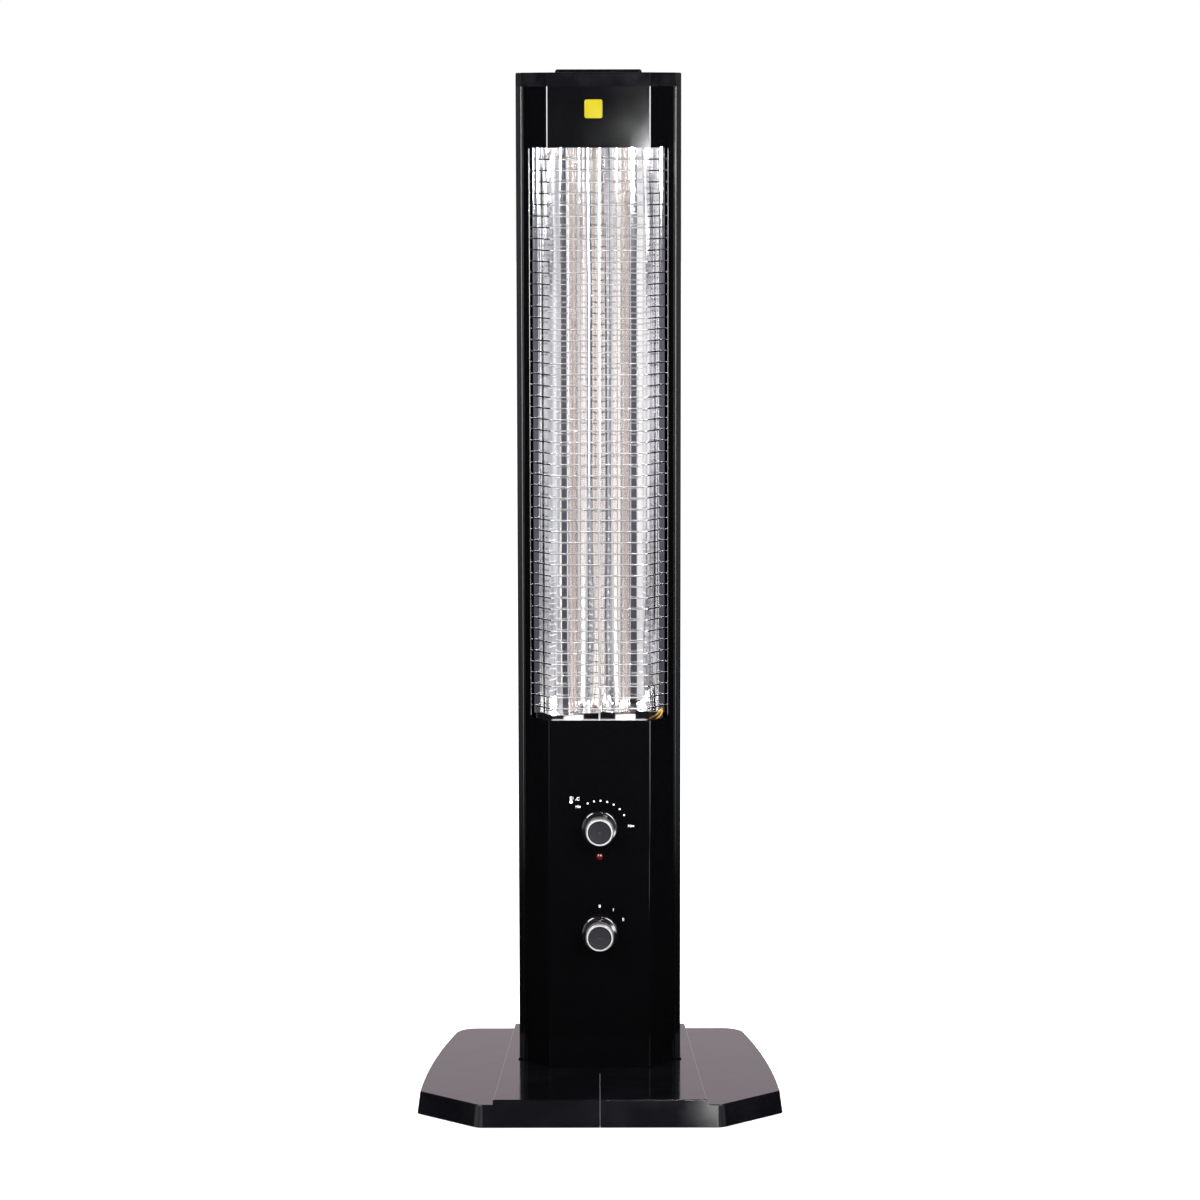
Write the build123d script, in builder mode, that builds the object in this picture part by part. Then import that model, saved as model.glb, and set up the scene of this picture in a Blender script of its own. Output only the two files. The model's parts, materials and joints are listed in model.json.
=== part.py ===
from build123d import *
import os
from math import asin, cos, pi, radians, sin, sqrt, tan

os.makedirs("parts", exist_ok=True)

# Tower quartz heater on a two-part foot. Millimetres, +Z up, the front faces -Y.
# The origin is on the floor, under the middle of the foot.

# Foot outline, right half, at the bottom of its skirt
foot_depth = 322.0
foot_front_half = 122.0
foot_side_half = 184.7
foot_corner_depth = 55.0
foot_back_half = 152.5
foot_side_bulge = 6.2
foot_front_radius = 14.0
foot_side_radius = 8.0
foot_back_radius = 26.0
foot_draft = 8.0
foot_wall = 2.5
foot_roof = 2.8
foot_edge_round = 1.0
foot_rib = 1.8
foot_seam_gap = 0.4
glide_height = 2.0
foot_height = 22.6
strip_rise = 5.0
strip_front_half = 107.0
strip_back_half = 91.0

# Glides under the foot
glide_radius = 8.0
glide_pocket = 2.0
glide_boss_wall = 2.2
glide_pin_radius = 2.5
glide_pin_length = 6.0
glide_corner_along = 42.4414
glide_corner_inset = 11.9886
glide_back_side_inset = 26.5
glide_back_inset = 29.0

# Tower outline from above: flat front, chamfers, side strips, sides, back corners
tower_front_y = -31.0
front_half = 51.5
chamfer_run = 26.5
chamfer_depth = 35.0
strip_run = 5.5
strip_depth = 15.0
side_depth = 31.5
back_run = 21.5
back_depth = 23.5
sheet = 1.0
bend_radius = 1.5
sheet_gap = 0.05
return_length = 12.0
tray_thickness = 1.5
tray_edge = 0.9
tray_flange_height = 14.0
tray_hole_radius = 4.0
fascia_height = 60.7

# Opening in the front, with a folded lip at its bottom and top
opening_half = 70.0
opening_rise = 360.2
opening_height = 577.8
opening_round = 2.0
lip_depth = 10.0

# Cap, its finger well and its carrying bar
cap_height = 13.8
cap_wall = 2.5
cap_round = 1.5
cap_lip_height = 8.0
cap_lip_wall = 1.6
well_half = 39.0
well_length = 46.0
well_depth = 31.0
well_wall = 2.0
well_round = 8.0
well_middle_y = 24.0
bar_half = 43.7
bar_width = 16.0
bar_rise = 3.3
bar_drop = 8.0
bar_end_gap = 0.3

# Guard of welded wires
guard_wire = 1.4
guard_post = 2.0
guard_wire_count = 50
guard_first_above_lip = 11.8
guard_last_below_lip = 11.516
guard_behind = 2.2
guard_flat_half = 48.4
guard_end_half = 69.6
guard_bend = 3.0
guard_weld = 0.25
clip_height = 6.0
clip_steel = 1.0
clip_foot = 4.4

# Reflector, its two end plates and the channel that holds them
channel_half = 65.0
channel_front_y = 4.0
channel_back_y = 46.0
channel_steel = 0.8
plate_steel = 0.8
plate_front_y = -18.0
plate_front_half = 48.0
plate_above_lip = 4.3
plate_above_opening = 0.9
plate_hole_gap = 0.6
reflector_sheet = 0.6
reflector_edge_half = 60.5
reflector_edge_y = -9.0
reflector_flank_half = 55.0
reflector_flank_y = 7.0
reflector_floor_half = 44.0
reflector_floor_y = 18.0
reflector_inner_half = 12.0
reflector_ridge_y = 1.0
reflector_bend = 2.0
spacer_radius = 4.0
spacer_half = 45.0
spacer_inset = 70.0

# Quartz tubes, coils and their ceramic caps
tube_half = 26.5
tube_y = -5.0
tube_radius = 5.0
tube_wall = 1.0
tube_socket = 12.0
tube_play = 0.3
coil_radius = 3.6
coil_wire = 0.9
cap_width = 21.0
cap_length = 20.0
cap_block = 24.0
cap_corner = 3.0
socket_gap = 0.1
pin_radius = 1.6
pin_length = 8.0
bracket_steel = 1.2
bracket_flange = 12.0
bracket_front = 2.0
bracket_back_y = 36.0
cutout_radius = 7.0
cutout_height = 9.0
cutout_y = 26.0

# Controls on the front panel
thermostat_z = 280.0
selector_z = 171.0
lamp_z = 250.6
control_half = 16.0
thermostat_depth = 20.0
selector_depth = 26.0
control_neck_radius = 4.8
control_neck_reach = 1.6
control_hole_gap = 0.15
spindle_radius = 3.0
spindle_running_gap = 0.05
spindle_seat = 14.0
spindle_end_gap = 0.3
spindle_reach = 20.0
screw_side = 10.5
screw_radius = 2.0
screw_head_radius = 3.4
screw_head_height = 1.8

# Knobs: a wide rim, a body, a silver sleeve and a recessed face
knob_gap = 0.6
knob_rim_radius = 18.5
knob_rim_height = 3.8
knob_rim_round = 1.9
knob_dish_rise = 0.5
knob_body_radius = 13.2
knob_height = 25.0
knob_cavity_radius = 14.4
knob_cavity_depth = 2.6
knob_hub_radius = 6.0
sleeve_radius = 14.4
sleeve_start = 12.0
sleeve_lip = 1.2
sleeve_bevel = 1.0
sleeve_gap = 0.1
face_radius = 11.9
face_thickness = 1.6
face_recess = 0.8
face_dish = 0.5
pointer_width = 4.2
pointer_radius = 16.0
pointer_start = 4.0
pointer_turn = 22.0

# Pilot lamp
lens_radius = 3.5
lens_dome = 2.4
lens_neck = 7.0
lamp_body_radius = 5.0
lamp_body_length = 22.0
lamp_hole_gap = 0.05

# Mains side: terminal block, cable gland, vents
terminal_width = 44.0
terminal_depth = 16.0
terminal_height = 20.0
terminal_z = 130.0
terminal_pitch = 12.0
terminal_screw_radius = 2.2
terminal_screw_height = 1.0
gland_z = 70.0
gland_bore_radius = 4.2
gland_neck_radius = 7.8
gland_flange_radius = 11.0
gland_flange = 3.0
gland_collar_radius = 7.0
gland_collar = 3.0
gland_inside = 10.0
gland_hole_gap = 0.1
gland_nut_height = 5.0
vent_length = 70.0
vent_width = 4.0
vent_pitch = 9.0
vent_low_count = 10
vent_low_z = 200.0
vent_high_count = 12
vent_high_z = 830.0

# Plate and screws that tie the foot halves and the tower together
tie_half = 75.0
tie_front_y = -37.0
tie_length = 117.0
tie_steel = 1.5
tie_notch_gap = 0.4
foot_screw_x = 50.0
foot_screw_front_y = -10.0
foot_screw_back_y = 55.0
foot_screw_radius = 2.5
foot_screw_head_radius = 4.8
foot_screw_head = 3.0
foot_nut_radius = 4.6
foot_nut = 5.0
hole_gap = 0.15
side_screw_radius = 1.7
side_screw_head_radius = 3.4
side_screw_head = 1.6
side_screw_length = 5.0
back_screw_half = 40.0
back_screw_tray_rise = 8.0

# Tip-over switch inside the foot
tip_x = 60.0
tip_back_inset = 43.0
tip_width = 24.0
tip_length = 16.0
tip_floor_z = 8.0
tip_floor = 2.0
tip_stem_radius = 2.5
tip_running_gap = 0.08
tip_collar_radius = 4.0
tip_collar = 2.0
tip_travel = 6.0
tip_bore_radius = 4.3
tip_stop_gap = 0.2
tip_spring_radius = 3.3
tip_spring_wire = 0.7
tip_spring_turns = 4.0
tip_roof = 2.5

# Leads inside the tower
lead_radius = 1.2
lead_boot_radius = 1.6

# Heights and planes worked out from the sizes above
strip_top = glide_height + foot_height + strip_rise
foot_top = glide_height + foot_height
foot_ceiling = strip_top - foot_roof
tray_top = strip_top + tray_thickness
corner_way = Vector(foot_side_half - foot_front_half, foot_corner_depth).normalized()
corner_inward = Vector(-corner_way.Y, corner_way.X)
glide_front = Vector(foot_front_half, -foot_depth / 2) + corner_way * glide_corner_along
glide_front = glide_front + corner_inward * glide_corner_inset
glide_back_x = foot_back_half - glide_back_side_inset
glide_back_y = foot_depth / 2 - glide_back_inset
tip_y = foot_depth / 2 - tip_back_inset
tip_rib_y = tip_y - tip_length / 2 - tie_notch_gap - foot_rib
shell_height = opening_rise + opening_height + fascia_height
shell_top = tray_top + shell_height
opening_bottom = tray_top + opening_rise
opening_top = opening_bottom + opening_height
opening_middle = (opening_bottom + opening_top) / 2
cap_top = shell_top + cap_height
panel_inner_y = tower_front_y + sheet
chamfer_half = front_half + chamfer_run
chamfer_y = tower_front_y + chamfer_depth
side_half = chamfer_half + strip_run
strip_y = chamfer_y + strip_depth
side_end_y = strip_y + side_depth
back_half = side_half - back_run
tower_back_y = side_end_y + back_depth
back_inner_y = tower_back_y - sheet
plate_low_top = opening_bottom + plate_above_lip
plate_low_bottom = plate_low_top - plate_steel
plate_high_bottom = opening_top + plate_above_opening
plate_high_top = plate_high_bottom + plate_steel
bracket_low_top = plate_low_bottom - cap_block
bracket_high_bottom = plate_high_top + cap_block
half_names = (("left", -1), ("right", 1))
tray_hole = (tip_x / 2, tower_back_y - 3 * sheet - gland_flange_radius)
tray_screw_z = tray_top + back_screw_tray_rise
back_screw_places = [(x, tray_screw_z) for x in (-back_screw_half, back_screw_half)]
back_plane = Plane(origin=(0, tower_back_y, 0), x_dir=(-1, 0, 0), z_dir=(0, 1, 0))
gland_plane = Plane(origin=(0, 0, gland_z), x_dir=(1, 0, 0), z_dir=(0, 1, 0))


def tower_outline(inset=0.0):
    """Closed outline of the tower from above, moved inwards by inset."""
    right = [
        (front_half, tower_front_y),
        (chamfer_half, chamfer_y),
        (side_half, strip_y),
        (side_half, side_end_y),
        (back_half, tower_back_y),
    ]
    left = [(-x, y) for x, y in reversed(right)]
    with BuildSketch(mode=Mode.PRIVATE) as outline:
        with BuildLine():
            Polyline(*right, *left, close=True)
        make_face()
        if inset:
            offset(amount=-inset, kind=Kind.INTERSECTION)
    return outline.sketch


def bent_strip(points, bend, thickness, side):
    """Face of a bent sheet seen along its bends, from its outer line."""
    with BuildSketch(mode=Mode.PRIVATE) as strip:
        with BuildLine():
            line = FilletPolyline(*points, radius=bend)
            offset(line, amount=thickness, side=side)
        make_face()
    return strip.sketch


def foot_outline(wall=0.0):
    """Outline of both foot halves together, moved inwards by wall."""
    front = -foot_depth / 2
    back = foot_depth / 2
    with BuildSketch(mode=Mode.PRIVATE) as outline:
        with BuildLine():
            edge = Line((0, front), (foot_front_half, front))
            corner = Line(edge @ 1, (foot_side_half, front + foot_corner_depth))
            flank = SagittaArc(corner @ 1, (foot_back_half, back), -foot_side_bulge)
            Line(flank @ 1, (0, back))
            mirror(about=Plane.YZ)
        make_face()
        outer = [v for v in outline.vertices() if abs(v.X) > foot_front_half / 2]
        fillet([v for v in outer if v.Y < front + 1], foot_front_radius)
        outer = [v for v in outline.vertices() if abs(v.X) > foot_side_half - 1]
        fillet(outer, foot_side_radius)
        outer = [v for v in outline.vertices() if v.Y > back - 1 and abs(v.X) > foot_back_half - 1]
        fillet(outer, foot_back_radius)
        if wall:
            offset(amount=-wall)
    return outline.sketch


def strip_outline(wall=0.0):
    """Outline of the raised middle of the foot, moved inwards by wall."""
    reach = foot_depth / 2
    with BuildSketch(mode=Mode.PRIVATE) as outline:
        with BuildLine():
            Polyline(
                (-strip_front_half + wall, -reach),
                (strip_front_half - wall, -reach),
                (strip_back_half - wall, reach),
                (-strip_back_half + wall, reach),
                close=True,
            )
        make_face()
    return outline.sketch


def crown_middle(half, rise):
    """Middle point of an arc that is level on the axis and rises by rise at half."""
    radius = (half**2 + rise**2) / (2 * rise)
    turn = asin(half / radius) / 2
    return radius * sin(turn), radius * (1 - cos(turn))


def save(name, part):
    """Label a finished piece and write its STEP file."""
    part.label = name
    export_step(part, f"parts/{name}.step")


# Both foot halves as one drafted tray, with the raised strip along its middle
glide_places = [
    (glide_front.X, glide_front.Y),
    (glide_back_x, glide_back_y),
    (-glide_front.X, glide_front.Y),
    (-glide_back_x, glide_back_y),
]
foot_screw_places = [
    (x, y)
    for x in (-foot_screw_x, foot_screw_x)
    for y in (foot_screw_front_y, foot_screw_back_y)
]
draft_step = tan(radians(foot_draft))
with BuildPart() as foot_form:
    with BuildSketch(Plane.XY.offset(glide_height)):
        add(foot_outline())
    extrude(amount=foot_height + strip_rise, taper=foot_draft)
    # The shoulders each side of the strip are lower
    with BuildSketch(Plane.XY.offset(foot_top)):
        Rectangle(2 * foot_side_half, foot_depth)
        add(strip_outline(), mode=Mode.SUBTRACT)
    extrude(amount=strip_rise + 1, mode=Mode.SUBTRACT)
    top_face = foot_form.faces().filter_by(Axis.Z).sort_by(Axis.Z)[-1]
    fillet(top_face.edges(), foot_edge_round)
    flats = foot_form.faces().filter_by(Axis.Z)
    shoulders = [f for f in flats if abs(f.center().Z - foot_top) < sheet_gap]
    step_x = strip_front_half - foot_edge_round
    rim = [e for f in shoulders for e in f.edges() if abs(e.center().X) > step_x]
    fillet(rim, foot_edge_round)
    # The hollow underneath follows the outside at one wall
    with BuildSketch(Plane.XY.offset(glide_height)):
        add(foot_outline(foot_wall))
    extrude(amount=foot_height - foot_roof, taper=foot_draft, mode=Mode.SUBTRACT)
    with BuildSketch(Plane.XY.offset(foot_top - foot_roof)):
        add(foot_outline(foot_wall + foot_height * draft_step))
        add(strip_outline(foot_wall), mode=Mode.INTERSECT)
    extrude(amount=strip_rise, mode=Mode.SUBTRACT)
    # Ribs across and along, cut short of the tie plate, up to the roof they stand under
    rib_reach = foot_outline(foot_height * draft_step + foot_wall / 3)
    for rib_top, limit in ((foot_top, rib_reach), (strip_top, strip_outline(foot_wall))):
        with BuildSketch(Plane.XY.offset(foot_top - foot_roof - foot_height / 3)):
            with Locations((0, -foot_depth / 4), (0, tip_rib_y)):
                Rectangle(2 * foot_back_half - 2 * foot_back_radius, foot_rib)
            with Locations((-strip_front_half, 0), (strip_front_half, 0)):
                Rectangle(foot_rib, foot_depth / 2)
            Rectangle(2 * foot_wall + foot_seam_gap, foot_depth - 2 * foot_wall)
            add(rib_reach, mode=Mode.INTERSECT)
            add(limit, mode=Mode.INTERSECT)
        extrude(amount=rib_top + foot_roof / 2 + foot_height / 3 - foot_top)
    # Bosses that the glides are pressed into
    with BuildSketch(Plane.XY.offset(glide_height + glide_pocket)):
        with Locations(*glide_places):
            Circle(glide_radius + glide_boss_wall)
    extrude(amount=foot_height - glide_pocket - foot_roof / 2)
    with BuildSketch(Plane.XY.offset(glide_height + glide_pocket)):
        with Locations(*glide_places):
            Circle(glide_pin_radius + sheet_gap)
    extrude(amount=glide_pin_length + glide_pocket, mode=Mode.SUBTRACT)
    # Room for the tie plate and the tip switch, and holes for the foot screws
    with BuildSketch(Plane.XY.offset(foot_ceiling - foot_roof - strip_rise)):
        with Locations((0, tie_front_y + tie_length / 2)):
            Rectangle(2 * tie_half + 2 * tie_notch_gap, tie_length + 2 * tie_notch_gap)
        with Locations((tip_x, tip_y)):
            Rectangle(tip_width + 2 * tie_notch_gap, tip_length + 2 * tie_notch_gap)
    extrude(amount=foot_roof + strip_rise, mode=Mode.SUBTRACT)
    with BuildSketch(Plane.XY.offset(foot_ceiling)):
        with Locations(*foot_screw_places):
            Circle(foot_screw_radius + hole_gap)
        with Locations(tray_hole):
            Circle(tray_hole_radius)
    extrude(amount=2 * foot_roof, mode=Mode.SUBTRACT)

for name, side in half_names:
    with BuildPart() as foot_half:
        add(foot_form.part)
        seam = Plane.YZ.offset(side * foot_seam_gap / 2)
        split(bisect_by=seam, keep=Keep.TOP if side > 0 else Keep.BOTTOM)
    save(f"foot_{name}", foot_half.part)

# Four glides, each pressed into its boss by a pin
glide_names = ("front_right", "back_right", "front_left", "back_left")
for name, place in zip(glide_names, glide_places):
    with BuildPart() as glide:
        with BuildSketch():
            with Locations(place):
                Circle(glide_radius)
        extrude(amount=glide_height + glide_pocket)
        chamfer(glide.edges().group_by(Axis.Z)[0], glide_height / 4)
        with BuildSketch(Plane.XY.offset(glide_height + glide_pocket)):
            with Locations(place):
                Circle(glide_pin_radius)
        extrude(amount=glide_pin_length)
    save(f"glide_{name}", glide.part)

# Tie plate under the roof of the foot
tie_bottom = foot_ceiling - tie_steel
with BuildPart() as tie_plate:
    with BuildSketch(Plane.XY.offset(tie_bottom)) as tie_sketch:
        with Locations((0, tie_front_y + tie_length / 2)):
            RectangleRounded(2 * tie_half, tie_length, bend_radius * 4)
        with Locations(*foot_screw_places):
            Circle(foot_screw_radius + hole_gap, mode=Mode.SUBTRACT)
        with Locations(tray_hole):
            Circle(tray_hole_radius, mode=Mode.SUBTRACT)
    extrude(amount=tie_steel)
save("tie_plate", tie_plate.part)

# Tray at the foot of the tower: a thin plate with an upturned flange inside the shells
with BuildPart() as foot_tray:
    with BuildSketch(Plane.XY.offset(strip_top)):
        with BuildLine():
            right = [
                (front_half, tower_front_y),
                (chamfer_half, chamfer_y),
                (side_half + tray_edge, chamfer_y),
                (side_half + tray_edge, side_end_y),
                (back_half, tower_back_y),
            ]
            Polyline(*right, *[(-x, y) for x, y in reversed(right)], close=True)
        make_face()
    extrude(amount=tray_thickness)
    with BuildSketch(Plane.XY.offset(tray_top)):
        add(tower_outline(2 * sheet + 2 * sheet_gap))
        add(tower_outline(3 * sheet + 2 * sheet_gap), mode=Mode.SUBTRACT)
    extrude(amount=tray_flange_height)
    with BuildSketch(Plane.XY.offset(tray_top)):
        with Locations(*foot_screw_places):
            Circle(foot_nut_radius)
    extrude(amount=foot_nut)
    with BuildSketch(Plane.XY.offset(strip_top)):
        with Locations(*foot_screw_places):
            Circle(foot_screw_radius + sheet_gap)
        with Locations(tray_hole):
            Circle(tray_hole_radius)
    extrude(amount=tray_thickness + foot_nut, mode=Mode.SUBTRACT)
    with BuildSketch(back_plane):
        with Locations(*back_screw_places):
            Circle(side_screw_radius + sheet_gap)
    extrude(amount=-4 * sheet, mode=Mode.SUBTRACT)
save("foot_tray", foot_tray.part)

# Screws from below through the tie plate and the roof of the foot into the tray
with BuildPart() as foot_screws:
    with BuildSketch(Plane.XY.offset(tie_bottom - foot_screw_head)):
        with Locations(*foot_screw_places):
            Circle(foot_screw_head_radius)
    extrude(amount=foot_screw_head)
    fillet(foot_screws.edges().group_by(Axis.Z)[0], foot_screw_head / 3)
    with BuildSketch(Plane.XY.offset(tie_bottom - foot_screw_head)):
        with Locations(*foot_screw_places):
            Rectangle(foot_screw_head_radius, foot_screw_head / 3)
            Rectangle(foot_screw_head / 3, foot_screw_head_radius)
    extrude(amount=foot_screw_head / 2, mode=Mode.SUBTRACT)
    with BuildSketch(Plane.XY.offset(tie_bottom)):
        with Locations(*foot_screw_places):
            Circle(foot_screw_radius)
    extrude(amount=tray_top + foot_nut - tie_bottom)
save("foot_screws", foot_screws.part)

# Tip-over switch: a housing under the roof, a sprung plunger that stands on the floor
tip_top = foot_ceiling
tip_bore_top = tip_top - tip_roof
tip_collar_bottom = tip_floor_z + tip_floor + tip_travel + tip_stop_gap
tip_collar_top = tip_collar_bottom + tip_collar
tip_place = Location((tip_x, tip_y))
with BuildPart() as tip_switch_body:
    with BuildSketch(Plane.XY.offset(tip_floor_z)):
        with Locations(tip_place):
            RectangleRounded(tip_width, tip_length, bend_radius)
    extrude(amount=tip_top - tip_floor_z)
    with BuildSketch(Plane.XY.offset(tip_floor_z)):
        with Locations(tip_place):
            Circle(tip_stem_radius + tip_running_gap)
    extrude(amount=tip_floor, mode=Mode.SUBTRACT)
    with BuildSketch(Plane.XY.offset(tip_floor_z + tip_floor)):
        with Locations(tip_place):
            Circle(tip_bore_radius)
    extrude(amount=tip_bore_top - tip_floor_z - tip_floor, mode=Mode.SUBTRACT)
save("tip_switch_body", tip_switch_body.part)

with BuildPart() as tip_switch_plunger:
    with BuildSketch():
        with Locations(tip_place):
            Circle(tip_stem_radius)
    extrude(amount=tip_collar_top)
    fillet(tip_switch_plunger.edges().group_by(Axis.Z)[0], tip_stem_radius / 2)
    with BuildSketch(Plane.XY.offset(tip_collar_bottom)):
        with Locations(tip_place):
            Circle(tip_collar_radius)
    extrude(amount=tip_collar)
save("tip_switch_plunger", tip_switch_plunger.part)

spring_height = tip_bore_top - tip_collar_top - tip_spring_wire - 2 * sheet_gap
spring_foot = tip_collar_top + tip_spring_wire / 2 + sheet_gap
with BuildPart() as tip_switch_spring:
    with BuildLine(Plane(origin=(tip_x, tip_y, spring_foot))):
        coil = Helix(spring_height / tip_spring_turns, spring_height, tip_spring_radius)
    with BuildSketch(Plane(origin=coil @ 0, z_dir=coil % 0)):
        Circle(tip_spring_wire / 2)
    sweep(path=coil, is_frenet=True)
save("tip_switch_spring", tip_switch_spring.part)

# Front shell: one bent sheet with the heat opening and the holes for the controls
strip_length = sqrt(strip_run**2 + strip_depth**2)
strip_way = Vector(strip_run, strip_depth) / strip_length
chamfer_length = sqrt(chamfer_run**2 + chamfer_depth**2)
chamfer_way = Vector(chamfer_run, chamfer_depth) / chamfer_length
chamfer_inward = Vector(-chamfer_depth, chamfer_run) / chamfer_length
# The return flange runs behind the rear housing's strip, one sheet further in
return_line = Vector(chamfer_half, chamfer_y) + Vector(-strip_way.Y, strip_way.X) * (
    sheet + sheet_gap
)
fold_turn = strip_way.Y * chamfer_way.X - strip_way.X * chamfer_way.Y
fold_back = ((return_line.Y - tower_front_y) * chamfer_way.X) / fold_turn
fold_back -= ((return_line.X - front_half) * chamfer_way.Y) / fold_turn
return_start = return_line - strip_way * fold_back
return_end = return_start + strip_way * return_length
front_points = [
    (-return_end.X, return_end.Y),
    (-return_start.X, return_start.Y),
    (-front_half, tower_front_y),
    (front_half, tower_front_y),
    (return_start.X, return_start.Y),
    (return_end.X, return_end.Y),
]
control_holes = [
    (0, thermostat_z, control_neck_radius + control_hole_gap),
    (0, selector_z, control_neck_radius + control_hole_gap),
    (0, lamp_z, lens_radius + lamp_hole_gap),
    (-screw_side, thermostat_z, screw_radius + sheet_gap),
    (screw_side, thermostat_z, screw_radius + sheet_gap),
    (-screw_side, selector_z, screw_radius + sheet_gap),
    (screw_side, selector_z, screw_radius + sheet_gap),
]
front_plane = Plane(origin=(0, tower_front_y, 0), x_dir=(1, 0, 0), z_dir=(0, -1, 0))
spacer_places = [
    (x, z)
    for x in (-spacer_half, spacer_half)
    for z in (opening_bottom + spacer_inset, opening_top - spacer_inset)
]
with BuildPart() as front_shell:
    with BuildSketch(Plane.XY.offset(tray_top)):
        add(bent_strip(front_points, bend_radius, sheet, Side.LEFT))
    extrude(amount=shell_height)
    with BuildSketch(front_plane):
        with Locations((0, opening_middle)):
            RectangleRounded(2 * opening_half, opening_height, opening_round)
    extrude(amount=-chamfer_depth, mode=Mode.SUBTRACT)
    # Lips folded back from the bottom and the top of the opening
    lip_half = front_half - chamfer_run / 10
    for lip_z in (opening_bottom - sheet, opening_top):
        with BuildSketch(Plane.XY.offset(lip_z)):
            with Locations((0, tower_front_y + lip_depth / 2)):
                Rectangle(2 * lip_half, lip_depth)
        extrude(amount=sheet)
    for x, z, radius in control_holes:
        with BuildSketch(front_plane):
            with Locations((x, z)):
                Circle(radius)
        extrude(amount=-2 * sheet, mode=Mode.SUBTRACT)
save("front_shell", front_shell.part)

# Rear housing: strips, sides and back in one bent sheet, with vent slots
rear_points = [
    (-chamfer_half, chamfer_y),
    (-side_half, strip_y),
    (-side_half, side_end_y),
    (-back_half, tower_back_y),
    (back_half, tower_back_y),
    (side_half, side_end_y),
    (side_half, strip_y),
    (chamfer_half, chamfer_y),
]
vent_rows = [vent_low_z + vent_pitch * i for i in range(vent_low_count)]
vent_rows += [vent_high_z + vent_pitch * i for i in range(vent_high_count)]
with BuildPart() as rear_housing:
    with BuildSketch(Plane.XY.offset(tray_top)):
        add(bent_strip(rear_points, bend_radius, sheet, Side.RIGHT))
    extrude(amount=shell_height)
    with BuildSketch(back_plane):
        with Locations(*[(0, z) for z in vent_rows]):
            SlotOverall(vent_length, vent_width)
        with Locations((0, gland_z)):
            Circle(gland_neck_radius + gland_hole_gap)
        with Locations(*back_screw_places, *spacer_places):
            Circle(side_screw_radius + sheet_gap)
    extrude(amount=-2 * sheet, mode=Mode.SUBTRACT)
save("rear_housing", rear_housing.part)

# Cap: a shallow moulding with a lip inside the shells and a finger well in its top
well_bottom = cap_top - well_depth
with BuildPart() as top_cap:
    with BuildSketch(Plane.XY.offset(shell_top)):
        add(tower_outline())
    extrude(amount=cap_height)
    fillet(top_cap.edges().filter_by(Axis.Z), cap_round)
    fillet(top_cap.edges().group_by(Axis.Z)[-1], cap_round)
    with BuildSketch(Plane.XY.offset(shell_top)):
        add(tower_outline(cap_wall))
    extrude(amount=cap_height - cap_wall, mode=Mode.SUBTRACT)
    with BuildSketch(Plane.XY.offset(shell_top - cap_lip_height)):
        add(tower_outline(2 * sheet + 2 * sheet_gap))
        add(tower_outline(2 * sheet + 2 * sheet_gap + cap_lip_wall), mode=Mode.SUBTRACT)
    extrude(amount=cap_lip_height + cap_height - cap_wall)
    with BuildSketch(Plane.XY.offset(well_bottom)):
        with Locations((0, well_middle_y)):
            RectangleRounded(
                2 * well_half + 2 * well_wall, well_length + 2 * well_wall, well_round
            )
    extrude(amount=well_depth - cap_wall / 2)
    with BuildSketch(Plane.XY.offset(well_bottom + well_wall)):
        with Locations((0, well_middle_y)):
            RectangleRounded(2 * well_half, well_length, well_round - well_wall)
    extrude(amount=well_depth, mode=Mode.SUBTRACT)
save("top_cap", top_cap.part)

# Carrying bar across the finger well, resting on the cap at both ends
with BuildPart() as carry_bar:
    with BuildSketch(Plane.XY.offset(cap_top)):
        with Locations((0, well_middle_y)):
            RectangleRounded(2 * bar_half, bar_width, bar_width / 4)
    extrude(amount=bar_rise)
    chamfer(carry_bar.edges().group_by(Axis.Z)[-1], bar_rise / 2)
    with BuildSketch(Plane.XY.offset(cap_top - bar_drop)):
        with Locations((0, well_middle_y)):
            Rectangle(2 * well_half - 2 * bar_end_gap, bar_width - 2 * bar_rise)
    extrude(amount=bar_drop)
    fillet(carry_bar.edges().group_by(Axis.Z)[0], bar_rise / 2)
save("carry_bar", carry_bar.part)

# Screws that hold the housing: two into the tray, four into the channel's spacers
with BuildPart() as housing_screws:
    with BuildSketch(back_plane):
        with Locations(*back_screw_places, *spacer_places):
            Circle(side_screw_head_radius)
    extrude(amount=side_screw_head)
    fillet(housing_screws.edges().group_by(Axis.Y)[-1], side_screw_head / 2)
    with BuildSketch(back_plane):
        with Locations(*back_screw_places, *spacer_places):
            Circle(side_screw_radius)
    extrude(amount=-side_screw_length)
    with BuildSketch(back_plane.offset(side_screw_head)):
        with Locations(*back_screw_places, *spacer_places):
            Rectangle(side_screw_head_radius, side_screw_head / 2)
            Rectangle(side_screw_head / 2, side_screw_head_radius)
    extrude(amount=-side_screw_head / 2, mode=Mode.SUBTRACT)
save("housing_screws", housing_screws.part)

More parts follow.
